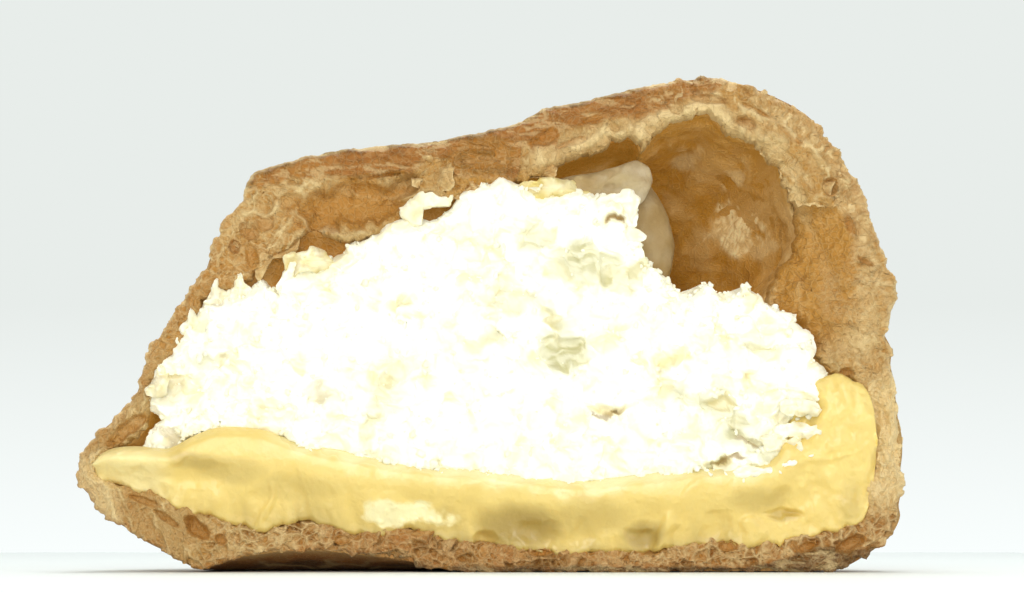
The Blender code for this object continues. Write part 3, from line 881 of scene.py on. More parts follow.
def lining():
    """The inside: soft swells, wrinkles, a few bubbles, and shallow lines where bubbles met.

    It starts further back where the inner wall slopes in. Under the left of the roof it bulges in,
    close behind the cut, as a soft step of depth.
    """
    outline = loop_through(RING, LINING_GRID[0])[:, 2:]
    angles = sweep_angles(LINING_GRID[1])
    grid = swept(outline, LINING_POLE, LINING_REACH, LINING_POWER, angles)
    sloped = past(outline[:, 0], 24, 3) * past(outline[:, 1], 21, 3) * before(outline[:, 1], 41, 3)
    start = (LINING_START + LINING_DEEPER * sloped)[:, None]
    grid[..., 1] += start - (start - LINING_START) * np.sin(angles)
    normal = outwards(grid)
    x, y, z = grid[..., 0], grid[..., 1] - CUT, grid[..., 2]
    behind = y - start
    under_roof = before(x, 6, 4) * past(z, 26, 4)
    bulge = 5.5 * under_roof * soft_step(behind / 3.2) * before(y, 22, 8)
    near, second, _ = cells(grid + 0.8 * rough(grid, 3, 2, 81)[..., None], 5.2, 82)
    edge = np.exp(-(((second - near) / 0.09) ** 2))
    hollows, _ = foam(grid + 0.4 * rough(grid, 1.5, 2, 88)[..., None], 1.5, 83)
    wrinkles = strands(grid * [1.0, 0.6, 1.0] + 1.5 * rough(grid, 4, 2, 80)[..., None], 3.6, 4, 78)
    deep = soft_step(behind / 3)
    uneven = 0.8 * rough(grid, 7, 2, 84) + 0.25 * rough(grid, 1.8, 3, 87) - 0.12 * edge - 0.12 * hollows
    out = deep * uneven - bulge - 0.8 * deep * (wrinkles - 0.4)
    grid = grid + normal * out[..., None]
    marks = lining_looks(grid, y, edge, wrinkles, under_roof)
    plain_angles = sweep_angles(PLAIN_SIDE)
    plain_outline = beside(np.roll(loop_through(RING, LINING_GRID[0]), 2, axis=1), 0.5)
    plain = swept(plain_outline, LINING_POLE, LINING_REACH + 1.2, LINING_POWER, plain_angles)
    plain[..., 1] += start - (start - LINING_START) * np.sin(plain_angles) + 0.2
    plain[..., 2] = np.maximum(plain[..., 2], 0.5)
    back = CUT + LINING_REACH + LINING_START
    poles = [(LINING_POLE[0], back, LINING_POLE[1]), (LINING_POLE[0], back + 1.4, LINING_POLE[1])]
    return bowl_piece("choux_lining", grid, plain, poles, marks)


choux_lining = lining()

# %% [markdown]
# ## Custard
#
# Custard is smooth and soft. The knife dragged it, so its face bulges at the top, draws in below,
# and drips over the crumb. It is a loop in a plane across the cut, front, top, back and bottom,
# carried along X, and the loop shrinks to a point at each end. Its own numbers say how wet it is,
# and where shade is painted on its face.

# %% The custard's outline at the cut: (x, bottom, top)
CUSTARD = [
    (-41.2, 10.8, 11.2), (-40.3, 9.7, 12.3), (-38.6, 9.0, 12.9), (-36.4, 8.5, 13.0), (-34.4, 8.0, 12.8),
    (-33.0, 7.3, 12.9), (-30.5, 6.2, 14.2), (-28.4, 5.7, 14.9), (-26.0, 5.3, 15.0), (-23.2, 4.8, 14.6),
    (-20.5, 5.6, 13.6), (-17, 5.0, 12.8), (-14, 4.3, 12.2), (-11, 4.3, 11.6), (-8, 4.8, 11.2),
    (-5.6, 4.2, 10.9), (-3, 3.4, 10.7), (0, 2.9, 10.5), (4, 2.5, 10.0), (8, 2.3, 9.6), (12, 2.3, 9.7),
    (16, 2.4, 10.2), (18.4, 2.4, 10.4), (20.5, 3.1, 10.7), (24, 3.4, 11.0), (27.2, 3.0, 11.4),
    (29.6, 3.5, 12.4), (31.4, 3.8, 16.6), (33.0, 4.1, 19.2), (34.2, 4.2, 20.2), (35.8, 4.5, 20.4),
    (37.4, 5.0, 20.1), (38.8, 6.2, 19.0), (39.5, 9.0, 17.2), (39.9, 11.8, 14.2),
]
CUSTARD_STATIONS = 560
FACE_STEPS, TOP_STEPS, UNDER_STEPS = 84, 30, 16
CUSTARD_BACK = 39.0  # radius of the round line where it ends
WET_PATCH = (-9.6, 6.2, 5.2, 1.5, -7)
# Where the face sinks in or swells: (x, z, half length, half height, tilt), depth.
CUSTARD_DENTS = [
    ((-30.6, 10.3, 4.2, 1.5, -6), 1.0), ((-0.4, 3.4, 1.5, 1.1, 0), 1.1), ((4.4, 3.6, 2.2, 1.4, 0), 1.0),
    ((2.0, 6.6, 6.0, 3.2, 0), 0.8), ((16.0, 3.5, 1.9, 1.4, 0), 1.1), ((14.5, 5.8, 4.0, 2.2, 0), 0.6),
    ((30.6, 6.0, 2.2, 0.4, -4), 0.9), ((29.5, 7.0, 4.2, 2.0, 0), 0.6), ((-20.2, 8.0, 1.3, 3.0, 12), 0.5),
    ((-25.0, 6.4, 1.3, 2.0, -10), 0.5), ((23.0, 4.6, 1.8, 1.8, 0), 0.6), ((9.6, 4.0, 1.4, 1.8, 0), 0.5),
    ((-9.6, 5.9, 4.8, 1.9, -10), -0.7), ((-31.8, 7.6, 1.4, 1.2, 0), -0.5),
    ((-28.6, 7.2, 1.8, 1.3, -10), -0.6), ((18.3, 3.8, 0.9, 2.1, -14), -0.8),
    ((27.2, 4.4, 1.0, 1.3, 0), -0.8), ((-23.0, 7.2, 0.6, 1.9, -12), -0.5),
    ((36.6, 9.0, 3.4, 5.6, 0), -0.4), ((-37.4, 10.9, 2.6, 1.2, 0), -0.25),
    ((-16.0, 6.6, 1.0, 2.2, 14), -0.4), ((20.6, 7.2, 0.8, 2.6, -18), -0.35),
    ((35.2, 12.0, 3.2, 0.45, 6), -0.5), ((31.2, 16.8, 2.9, 3.6, 0), 2.4),
]
# Painted shade, darker places of the face: (x, z, half length, half height, tilt), how dark.
CUSTARD_SHADES = [
    ((-30.2, 11.2, 2.6, 0.9, -10), 0.45), ((-27.0, 10.4, 3.6, 1.3, -8), 0.3),
    ((3.0, 4.6, 4.4, 2.2, 0), 0.75), ((15.8, 3.8, 2.2, 1.5, 0), 0.7), ((30.4, 6.0, 1.6, 0.6, -4), 0.5),
    ((-4.6, 5.2, 2.0, 1.6, 0), 0.35), ((10.2, 5.6, 4.0, 2.0, 0), 0.3), ((27.6, 7.6, 3.0, 1.4, 10), 0.3),
    ((-20.0, 8.6, 4.0, 1.4, 0), 0.25), ((37.2, 7.4, 1.2, 2.4, 0), 0.25),
]


def custard_face(x, z, low, high):
    """Depth of the face: out at the top and drawn in below, then dents, swells and soft drips."""
    up = (z - low) / (high - low)
    lean = 1.3 * (1 - soft_step(up * 1.5)) - 0.8 * np.exp(-(((up - 0.74) / 0.28) ** 2))
    flat = at_cut(x, z)
    below = 1 - soft_step(up * 1.3)
    drips = rough(at_cut(x + 0.25 * z, 0.22 * z), 2.6, 3, 91)
    deep = lean + 0.3 * swell(at_cut(x, 0.3 * z), 5.2, 90) + 0.22 * drips * (0.25 + below)
    deep = deep + 0.05 * rough(flat, 1.4, 3, 93)
    wander = 0.8 * at_cut(rough(flat, 2.6, 2, 96), rough(flat, 2.6, 2, 97))
    moved_x, moved_z = x + wander[..., 0], z + wander[..., 2]
    for spot, depth in CUSTARD_DENTS:
        deep = deep + 0.75 * depth * soft_step((ellipse(moved_x, moved_z, spot) + 0.4) * 0.62)
    return deep


def custard_looks(x, z, low, high, film):
    """How wet and how dark the face is: milky at the top, and painted shade in streaks below and in dents.
    """
    up = (z - low) / (high - low)
    streaks = 0.5 * rough(at_cut(x + 0.2 * z, 0.25 * z), 2.2, 3, 100)
    # Painted shade: darker towards the bottom of the face, in streaks, and in its dents and folds.
    shade = 0.55 * np.clip(0.9 - up * 2.2 + 0.6 * streaks, 0, 1) ** 1.4 * past(x, -34, 6) * before(x, 30, 8)
    shade = np.maximum(shade, spotted(x, z + 0.6 * streaks, CUSTARD_SHADES, 0.9, 0.55))
    milky = soft_step(1 - (high - z) / 2.4 + 0.3 * rough(at_cut(x, z), 1.8, 3, 89))
    milky = milky * past(x, -25, 6) * before(x, 31, 5)
    wet = np.maximum(film, 0.8 * milky + 0.4 * before(x, -32, 3))
    return {"wet": wet, "deep": np.clip(shade * (1 - 0.9 * film), 0, 1)}


def custard():
    """Loops across the cut, from the back of the floor, under and up the face, and back over the top.

    The right end is smeared up the wall. The wet patch is beaded, each bead a dome of cell noise.
    """
    line = curve_through(CUSTARD, CUSTARD_STATIONS)
    x, bottom, high = line[:, :1], line[:, 1:2], line[:, 2:]
    smear = past(x, 30, 3)
    high = high + 0.2 * smear * rough(at_cut(x, 0), 1.5, 3, 90)
    drip = 0.4 * rough(at_cut(x, 0), 1.5, 4, 94) - 0.45
    low = bottom + drip
    z = low + (high - bottom - drip) * np.linspace(0, 1, FACE_STEPS)[None, :]
    deep = custard_face(x, z, bottom, high)
    film = soft_step((ellipse(x, z, WET_PATCH) + 0.7 * rough(at_cut(x, z), 1.6, 4, 98)) * 1.4)
    beads, _, chosen = cells(at_cut(x, z), 0.62, 99)
    deep = deep - 0.16 * film * soft_step((chosen - 0.45) * 4) * np.sqrt(np.clip(1 - beads**2 * 3, 0, 1))
    edge_low = np.clip(1 - (z - low) / 0.6, 0, 1) ** 2
    edge_high = np.clip(1 - (high - z) / (1.2 - 0.7 * smear), 0, 1) ** 2
    y = CUT - 0.15 + deep + 0.5 * edge_low + (1.1 - 0.6 * smear) * edge_high
    y = y + 0.3 * smear * rough(at_cut(x, z), 1.6, 3, 92)

    # Over the top and along the floor, from the face to the round line at the back.
    back = CUT + np.sqrt(np.clip(CUSTARD_BACK**2 - (x * 0.94) ** 2, 4, None))
    top_y = y[:, -1:] + (back - y[:, -1:]) * np.linspace(0, 1, TOP_STEPS)[None, 1:]
    top_z = high + (11.0 - high) * past(top_y - CUT, 3, 26) * (high > 12)
    top_z = top_z + 0.25 * rough(at_cut(x, 0, top_y), 5, 2, 95)
    under_y = y[:, :1] + (back - y[:, :1]) * np.linspace(1, 0, UNDER_STEPS)[None, :-1]
    under_z = low + (0.6 - drip) * past(under_y - CUT, 1, 3)
    all_y, all_z = (np.concatenate(parts, axis=1) for parts in ([y, top_y, under_y], [z, top_z, under_z]))
    points = at_cut(x, all_z, all_y)
    rows, columns = points.shape[:2]
    behind = np.zeros((rows, columns - FACE_STEPS))
    looks = custard_looks(x, z, low, high, film)
    marks = {label: np.concatenate([values, behind], axis=1) for label, values in looks.items()}
    faces = quads(rows, columns, tube=True)
    return make_piece("custard_layer", points, faces, "custard", marks, tube_ends(rows, columns))


custard_layer = custard()

# %% [markdown]
# ## Torn whipped cream
#
# Whipped cream that is cut tears into clumps. Its face is a patch between four outlines: the line on
# the custard, the right edge, the top, and the left edge along the wall. A Coons patch fills them:
# the blend of bottom and top, plus the blend of left and right, less the blend of the corners. The
# clumps are cell noise of several sizes, each cell a rounded lump, and the patch is also pushed
# sideways, so that crumbs overhang.

# %% Outlines of the cream: x and z
CREAM_BOTTOM = [
    (-36.6, 12.9), (-35, 12.7), (-33, 12.6), (-31.6, 13.8), (-29, 14.6), (-26, 14.6), (-23, 14.2),
    (-19, 13.1), (-14, 12.0), (-8, 10.8), (-2, 10.3), (2, 9.6), (5, 8.8), (9, 8.5), (14, 9.4), (20, 10.1),
    (24, 10.3), (28, 9.4), (30.4, 10.6), (32.4, 12.2), (33.6, 13.9),
]
CREAM_RIGHT = [
    (33.6, 13.9), (34.2, 15.0), (34.0, 16.8), (34.8, 18.8), (34.7, 20.4), (34.0, 22.0), (33.4, 24.8),
    (32.0, 26.0), (31.2, 27.0), (30.0, 27.2), (28.6, 28.2), (27.4, 29.4),
]
CREAM_TOP = [
    (-30.0, 28.0), (-28, 28.6), (-26.2, 28.4), (-24.4, 29.8), (-22.8, 29.9), (-21.9, 28.9), (-20.9, 29.8),
    (-21.5, 31.8), (-20.4, 33.0), (-18.4, 33.0), (-16.2, 33.4), (-14.4, 34.4), (-12.4, 35.2),
    (-10.4, 36.0), (-8.6, 37.2), (-7.2, 37.0), (-6.2, 36.8), (-5.2, 37.9), (-3.6, 38.4), (-2.2, 39.8),
    (-0.6, 41.0), (0.6, 40.9), (1.8, 41.0), (3.0, 40.0), (5, 40.1), (8, 39.9), (10.4, 39.3), (12.3, 39.2),
    (14.2, 38.8), (15.3, 38.0), (14.6, 37.2), (13.6, 36.4), (14.6, 35.4), (15.6, 34.6), (15.2, 33.4),
    (16.2, 32.6), (17.2, 31.0), (18.6, 30.1), (20.0, 29.2), (21.4, 29.2), (22.5, 30.0), (23.4, 29.2),
    (24.6, 29.2), (25.4, 29.0), (26.2, 29.8), (27.4, 29.4),
]
CREAM_LEFT = [
    (-36.6, 12.9), (-35.8, 14.6), (-34.4, 15.8), (-36.0, 16.6), (-36.0, 18.0), (-35.4, 20.0),
    (-35.0, 21.4), (-33.4, 22.8), (-32.0, 24.8), (-31.0, 26.4), (-30.0, 28.0),
]
CREAM_GRID = (430, 215)
JAG_REACH = 9  # steps over which the cream's edges are smoothed
JAG_FADE = 12
DENT_SHARE = 0.62  # how much of a dent's given depth the torn face takes
RIM_LAYERS = ((0.8, 1.0), (2.0, 0.985), (4.0, 0.95))  # mm back, and how far the rim has shrunk there
TORN_DEPTH = 7.0
# Dents, slots and swells of the torn face: (x, z, half length, half height, tilt), depth.
CREAM_DENTS = [
    ((10.8, 31.8, 4.0, 1.7, -8), 0.7), ((13.0, 36.3, 1.7, 0.8, -8), 1.3),
    ((5.2, 34.8, 1.9, 1.3, 10), 0.6), ((2.2, 28.4, 2.6, 1.4, -10), 0.8),
    ((7.6, 23.2, 2.7, 1.9, -20), 0.8), ((-1.0, 23.4, 3.6, 0.9, 6), 0.8),
    ((-10.0, 20.0, 1.6, 3.2, -24), 0.9), ((-12.6, 15.2, 1.3, 2.0, -20), 0.9),
    ((-17.4, 18.0, 2.8, 1.4, -14), 0.5), ((-27.5, 21.9, 0.9, 0.7, 0), 1.0),
    ((-33.6, 18.6, 2.0, 1.7, 0), 0.5), ((-33.4, 14.0, 0.8, 1.3, 10), 0.5),
    ((12.1, 16.9, 2.9, 0.4, 2), 1.9), ((7.0, 26.6, 1.9, 0.8, 24), 1.0),
    ((25.8, 15.0, 1.7, 1.1, -30), 1.0), ((23.8, 17.4, 1.5, 0.6, -10), 1.2),
    ((28.2, 13.4, 1.9, 0.6, -14), 1.0), ((23.4, 11.3, 1.8, 0.3, 4), 1.2),
    ((26.6, 19.6, 0.8, 0.7, 0), 1.2), ((30.6, 24.6, 1.0, 0.6, 0), 0.9),
    ((28.0, 22.4, 1.8, 0.7, -20), 0.9), ((19.0, 21.6, 1.5, 0.8, 10), 0.7),
    ((15.8, 26.4, 1.6, 1.0, 20), 0.8), ((9.6, 19.6, 0.8, 1.8, 20), 0.8), ((17.4, 13.6, 1.6, 0.5, 0), 0.7),
    ((32.0, 15.2, 1.3, 0.4, 10), 1.4), ((-9.4, 27.8, 1.3, 1.0, 0), 0.7),
    ((-22.0, 16.0, 2.0, 0.8, 0), 0.6), ((-5.4, 13.0, 1.8, 0.7, -10), 0.6),
    ((1.4, 14.6, 1.4, 0.6, 10), 0.6), ((-4.4, 10.9, 1.5, 0.4, 0), 0.7), ((-30.4, 25.8, 1.2, 1.0, 0), 1.1),
    ((-28.9, 28.2, 0.9, 1.0, 0), 1.0), ((-22, 25, 6, 4, 10), -0.7), ((-6, 20, 6, 4, 0), -0.6),
    ((20, 25, 5, 3, 0), -0.7), ((3, 15, 8, 4, 0), -0.6), ((0, 37, 5, 3, 0), -0.6),
    ((22, 20, 3, 2, 0), -0.5),
]
# Painted shade, greyer places of the torn face: (x, z, half length, half height, tilt), how dark.
CREAM_SHADES = [
    ((10.8, 31.8, 4.2, 1.7, -8), 0.8), ((5.0, 34.8, 2.0, 1.3, 10), 0.6),
    ((7.4, 23.2, 2.6, 2.0, -20), 0.9), ((-11.2, 17.5, 1.6, 5.2, -32), 0.4),
    ((-17.4, 18.0, 2.8, 1.6, -14), 0.15), ((12.1, 16.8, 3.1, 0.6, 4), 0.0),
    ((25.6, 14.6, 2.4, 1.6, -30), 0.8), ((23.4, 11.3, 1.8, 0.4, 4), 1.0),
    ((28.2, 12.6, 2.0, 1.0, -14), 0.7), ((21.6, 17.8, 3.4, 1.1, -16), 0.5),
    ((2.6, 28.4, 3.6, 1.4, -10), 0.4), ((-34.0, 18.8, 1.8, 1.6, 0), 0.15),
    ((5.6, 27.2, 2.6, 1.2, -30), 0.5), ((-2.0, 23.6, 3.4, 0.8, 6), 0.3),
    ((27.6, 22.6, 2.2, 0.8, -20), 0.4), ((-4.2, 10.9, 1.6, 0.4, 0), 0.5),
    ((-29.8, 21.8, 1.2, 1.0, 0), 0.4), ((14.8, 30.4, 1.6, 1.2, 20), 0.5),
    ((-8.8, 27.9, 1.2, 0.9, 0), 0.4),
]
# Places where brown crumb or custard shows through it; in the hole by the lobe and the grey-brown
# patch at the left the tint is painted shade.
CREAM_TINTS = [
    ((13.4, 36.4, 1.2, 0.6, -8), 1.0), ((12.1, 16.7, 2.6, 0.3, 2), 0.7),
    ((-34.0, 18.8, 1.6, 1.4, 0), 0.25), ((-33.5, 13.9, 0.9, 1.4, 10), 0.4),
    ((-17.6, 17.6, 0.6, 0.9, 0), 0.3), ((24.4, 11.2, 2.2, 0.3, 4), 0.8),
    ((26.8, 13.6, 1.4, 0.5, -20), 0.6), ((-28.8, 28.0, 0.8, 1.0, 0), 0.4),
    ((-27.4, 21.6, 0.7, 0.8, 0), 0.3),
]


def clumps(at):
    """Height of the torn cream: soft swells, then domes of three sizes, each of its own height.

    A dome is the root of one less the square of the distance to its point, so gaps stay between.
    """
    bent = at + 0.4 * rough(at, 1.9, 3, 101)[..., None]
    high = 1.1 * rough(at, 6.5, 2, 102) + 0.6 * rough(at, 2.6, 3, 103)
    for size, height, salt in ((1.7, 0.5, 104), (0.95, 0.42, 105), (0.52, 0.3, 106)):
        near, _, number = cells(bent, size, salt)
        high = high + height * (number - 0.3) * np.sqrt(np.clip(1 - near**2 * 1.5, 0, 1))
    return high


def smoothed(line, reach):
    """The line with its fine jags averaged over so many steps either way, its ends kept."""
    padded = np.vstack([2 * line[0] - line[reach:0:-1], line, 2 * line[-1] - line[-2 : -reach - 2 : -1]])
    weights = np.hanning(2 * reach + 3)[1:-1]
    return np.stack([np.convolve(column, weights / weights.sum(), "valid") for column in padded.T], axis=-1)


def patch(bottom, right, top, left, columns, rows):
    """A Coons patch: opposite edges blended both ways, less the corners that this counts twice.

    The smoothed edges fill it. Their jags are added last, and fade out by a high power of how near
    a place is to the edge.
    """
    u, v = np.linspace(0, 1, columns)[:, None, None], np.linspace(0, 1, rows)[None, :, None]
    sides = ((bottom, columns), (top, columns), (left, rows), (right, rows))
    edges = [curve_through(points, count) for points, count in sides]
    soft = [smoothed(line, JAG_REACH) for line in edges]
    low, high, near, far = soft[0][:, None], soft[1][:, None], soft[2][None], soft[3][None]
    corners = (1 - u) * (1 - v) * low[:1] + u * (1 - v) * low[-1:]
    corners = corners + (1 - u) * v * high[:1] + u * v * high[-1:]
    place = (1 - v) * low + v * high + (1 - u) * near + u * far - corners
    jags = [line - even for line, even in zip(edges, soft)]
    place = place + (1 - v) ** JAG_FADE * jags[0][:, None] + v**JAG_FADE * jags[1][:, None]
    return place + (1 - u) ** JAG_FADE * jags[2][None] + u**JAG_FADE * jags[3][None]


def grid_edge(columns, rows):
    """Numbers of a grid's points round its edge, in order."""
    number = np.arange(columns * rows).reshape(columns, rows)
    return np.concatenate([number[:-1, 0], number[-1, :-1], number[:0:-1, -1], number[0, :0:-1]])


def torn_surface():
    """Places of the torn face over the patch, and the numbers that its finish needs."""
    columns, rows = CREAM_GRID
    place = patch(CREAM_BOTTOM, CREAM_RIGHT, CREAM_TOP, CREAM_LEFT, columns, rows)
    x, z = place[..., 0], place[..., 1]
    u, v = np.linspace(0, 1, columns)[:, None], np.linspace(0, 1, rows)[None]
    wide, tall = 62.0, 14 + 18 * np.sin(math.pi * u)  # millimetres across the patch, and up it
    inside = np.minimum(np.minimum(u, 1 - u) * wide, np.minimum(v, 1 - v) * tall)
    flat = at_cut(x, z)
    edge = np.clip(1 - inside / 1.5, 0, 1) ** 2 * (0.15 + 0.85 * soft_step(v * 6))
    dents = np.zeros_like(x)
    wander = 0.9 * at_cut(rough(flat, 1.8, 3, 112), rough(flat, 1.8, 3, 115))
    for spot, depth in CREAM_DENTS:
        loose = min(1, spot[3] / 1.2)
        bowl = ellipse(x + loose * wander[..., 0], z + loose * wander[..., 2], spot)
        dents = dents + DENT_SHARE * depth * soft_step((bowl + 0.35) * 0.75)
    deep = 0.4 - clumps(flat) * (1 - 0.3 * edge) + dents + 1.5 * edge
    blotches = soft_step(1.5 * rough(flat + 0.5 * wander, 2.2, 4, 118) - 0.2)
    streaks = soft_step(0.5 + 1.1 * rough(at_cut(x * 0.5, z * 1.3) + 0.4 * wander, 0.7, 3, 119))
    # Painted shade: the warm crevice colour is strongest in the dents; blotches add warmth at random.
    crevice = np.clip((0.5 * np.clip(dents, 0, 1.4) + 0.45 * blotches) * (0.45 + 0.55 * streaks), 0, 1)
    moved_x, moved_z = x + wander[..., 0], z + wander[..., 2]
    # Painted shade: grey-olive where the torn face lies in shade.
    shade = spotted(moved_x, moved_z, CREAM_SHADES, 1.0, 0.55) * (0.55 + 0.45 * streaks)
    tint = spotted(moved_x, moved_z, CREAM_TINTS, 0.6, 0.8)
    place = place + drifts(flat, 1.5, 4, (113, 117)) * 0.45
    numbers = {"crevice": crevice, "shade": shade, "tint": tint}
    return at_cut(place[..., 0], place[..., 1], CUT + deep), numbers


def torn_cream(surface, numbers):
    """The torn face as a closed piece: layers of its rim run back to a point."""
    columns, rows = CREAM_GRID
    points = surface.reshape(-1, 3)
    rim = grid_edge(columns, rows)
    middle = points.mean(axis=0)
    layers = [points]
    for back, shrink in RIM_LAYERS:
        layer = points[rim].copy()
        layer[:, 0] = middle[0] + (layer[:, 0] - middle[0]) * shrink
        layer[:, 2] = middle[2] + (layer[:, 2] - middle[2]) * shrink
        layer[:, 1] = layer[:, 1] + back
        layers.append(layer)
    layers.append(middle[None] + [0, TORN_DEPTH, 0])
    total = columns * rows
    rings = [rim] + [total + k * len(rim) + np.arange(len(rim)) for k in range(len(RIM_LAYERS))]
    faces = [quads(columns, rows)]
    for first, second in zip(rings, rings[1:]):
        faces.append(np.stack([np.roll(first, -1), np.roll(second, -1), second, first], axis=-1))
    pole = total + len(RIM_LAYERS) * len(rim)
    fan = np.stack([rings[-1], np.roll(rings[-1], -1), np.full(len(rim), pole)], axis=-1)
    behind = np.zeros(pole + 1 - total)
    marks = {label: np.append(values.ravel(), behind) for label, values in numbers.items()}
    points, faces = np.vstack(layers), np.vstack(faces)
    return make_piece("cream_torn_face", points, faces, "whipped_cream", marks, fan.tolist())


torn, torn_numbers = torn_surface()
cream_torn_face = torn_cream(torn, torn_numbers)


# %% [markdown]
# ## Loose crumbs of cream
#
# Where cream tears, small crumbs of it stay behind on the face and along its edge. They are one
# piece. Each crumb is a ball of a few faces, and its place comes from a hashed row and column of the
# torn face, so that crumbs lie on it wherever it is. All are worked out at once, as one array.


# %% Crumbs
CRUMBS = 1500
CRUMB_ROUND, CRUMB_RISE = 7, 4
EDGE_SHARE, TOP_SHARE = 0.35, 0.4  # how many lie along the edge, and how many of those at the top
BARE = (0.42, 0.13)  # part of the top with none: its middle and half length
CUSTARD_CRUMBS = [(26.0, 9.4), (22.6, 10.0), (29.8, 10.3), (33.0, 12.0)]


def drawn(count, salt):
    """Numbers from 0 to 1, one for each of the count, hashed from its place in the row."""
    row = np.arange(count)
    return hashed(np.stack([row, row * 0 + 3, row * 0 + 7], axis=-1), salt) / 2**32


def ball_grid(around, up):
    """A ball of radius one, its grid flattened, with the two poles last."""
    turn = np.arange(around)[:, None] / around * 2 * math.pi
    rise = (np.arange(1, up + 1) / (up + 1) - 0.5)[None] * math.pi
    ball = at_cut(np.cos(turn) * np.cos(rise), np.sin(rise), np.sin(turn) * np.cos(rise))
    return np.vstack([ball.reshape(-1, 3), [[0, 0, -1], [0, 0, 1]]])


def cream_crumbs():
    """Crumbs on the torn face, more of them near its edge, then a few on the custard."""
    columns, rows = CREAM_GRID
    along, up = drawn(CRUMBS, 131), drawn(CRUMBS, 132)
    at_edge = drawn(CRUMBS, 133) < EDGE_SHARE
    at_top = (drawn(CRUMBS, 134) < TOP_SHARE) & (np.abs(along - BARE[0]) > BARE[1])
    up = np.where(at_edge, np.where(at_top, 1 - up * 0.02, up * 0.02), up)
    chosen = torn[(along * (columns - 1)).astype(int), (up * (rows - 1)).astype(int)]
    size = 0.09 + 0.26 * drawn(CRUMBS, 135) ** 3 + 0.03 * at_edge
    side = np.where(at_edge, np.sign(up - 0.5), 0)
    chosen = chosen + np.stack([0 * size, -0.3 * size, side * 0.5 * size], axis=-1)
    fallen = np.array([(x, CUT - 1.0, z) for x, z in CUSTARD_CRUMBS])
    chosen = np.vstack([chosen, fallen])
    size = np.append(size, 0.15 + 0.2 * drawn(len(fallen), 136))
    ball = ball_grid(CRUMB_ROUND, CRUMB_RISE)
    wide, tall = 0.7 + 0.8 * drawn(len(size), 137), 0.7 + 0.6 * drawn(len(size), 138)
    stretch = np.stack([wide, 0.8 + 0 * size, tall], axis=-1)
    points = chosen[:, None] + ball * size[:, None, None] * stretch[:, None]
    points = points + 0.6 * size[:, None, None] * drifts(points, 0.3, 2, (139, 145, 147))
    faces, ends = ball_faces(CRUMB_ROUND, CRUMB_RISE)
    start = np.arange(len(size))[:, None, None] * len(ball)
    crevice = np.repeat(0.25 * drawn(len(size), 140), len(ball))
    marks = {"crevice": crevice, "tint": np.zeros_like(crevice)}
    faces, ends = (start + faces).reshape(-1, 4), (start + ends).reshape(-1, 3)
    return make_piece("cream_crumbs", points, faces, "whipped_cream", marks, ends.tolist())


cream_crumb_piece = cream_crumbs()

# %% [markdown]
# ## Smooth cream, tongues of cream and flaps of dough
#
# Behind the tear the cream is as it was piped: smooth and rounded. One heap fills the hollow behind
# the face, well inside the crust. Smaller shapes are pillows: an outline seen from the front, shrunk
# ring by ring to its middle, and pushed out by the root of one less the square of the shrink. A
# thick one is a lobe of cream, and a thin one is a skin of dough that tore off the wall.


# %% Pillows
def pillow(outline, depth, bulge, crinkle=0.1, salt=1, lean=(0.0, 0.0), ragged=0.3, around=80, rings=12):
    """Points, faces and edge number of a closed pillow, its middle at that depth behind the cut.

    lean tips it, in depth for each millimetre of x and of z. The edge number is 1 at the rim.
    """
    rim = loop_through(outline, around)
    flat = at_cut(rim[:, 0], rim[:, 1])
    rim = rim + ragged * drifts(flat, 1.1, 3, (salt + 3, salt + 4))
    middle = rim.mean(axis=0)
    r = np.sin(np.arange(1, rings + 1) / rings * math.pi / 2)
    r = np.append(r, r[-2::-1])
    side = np.where(np.arange(2 * rings - 1) < rings, -1.0, 1.0)
    place = middle + (rim[:, None] - middle) * r[:, None]
    place = np.vstack([place.reshape(-1, 2), [middle, middle]])
    out = np.append(np.tile(side * bulge * np.sqrt(np.clip(1 - r**2, 0, 1)), around), [-bulge, bulge])
    place_flat = at_cut(place[:, 0], place[:, 1])
    uneven = crinkle * (rough(place_flat, 1.6, 3, salt) + 0.7 * strands(place_flat, 1.1, 2, salt + 9))
    tipped = (place - middle) @ np.array(lean)
    points = at_cut(place[:, 0], place[:, 1], CUT + depth + out + uneven + tipped)
    return (points, *ball_faces(around, 2 * rings - 1), np.append(np.tile(r, around), [0, 0]))


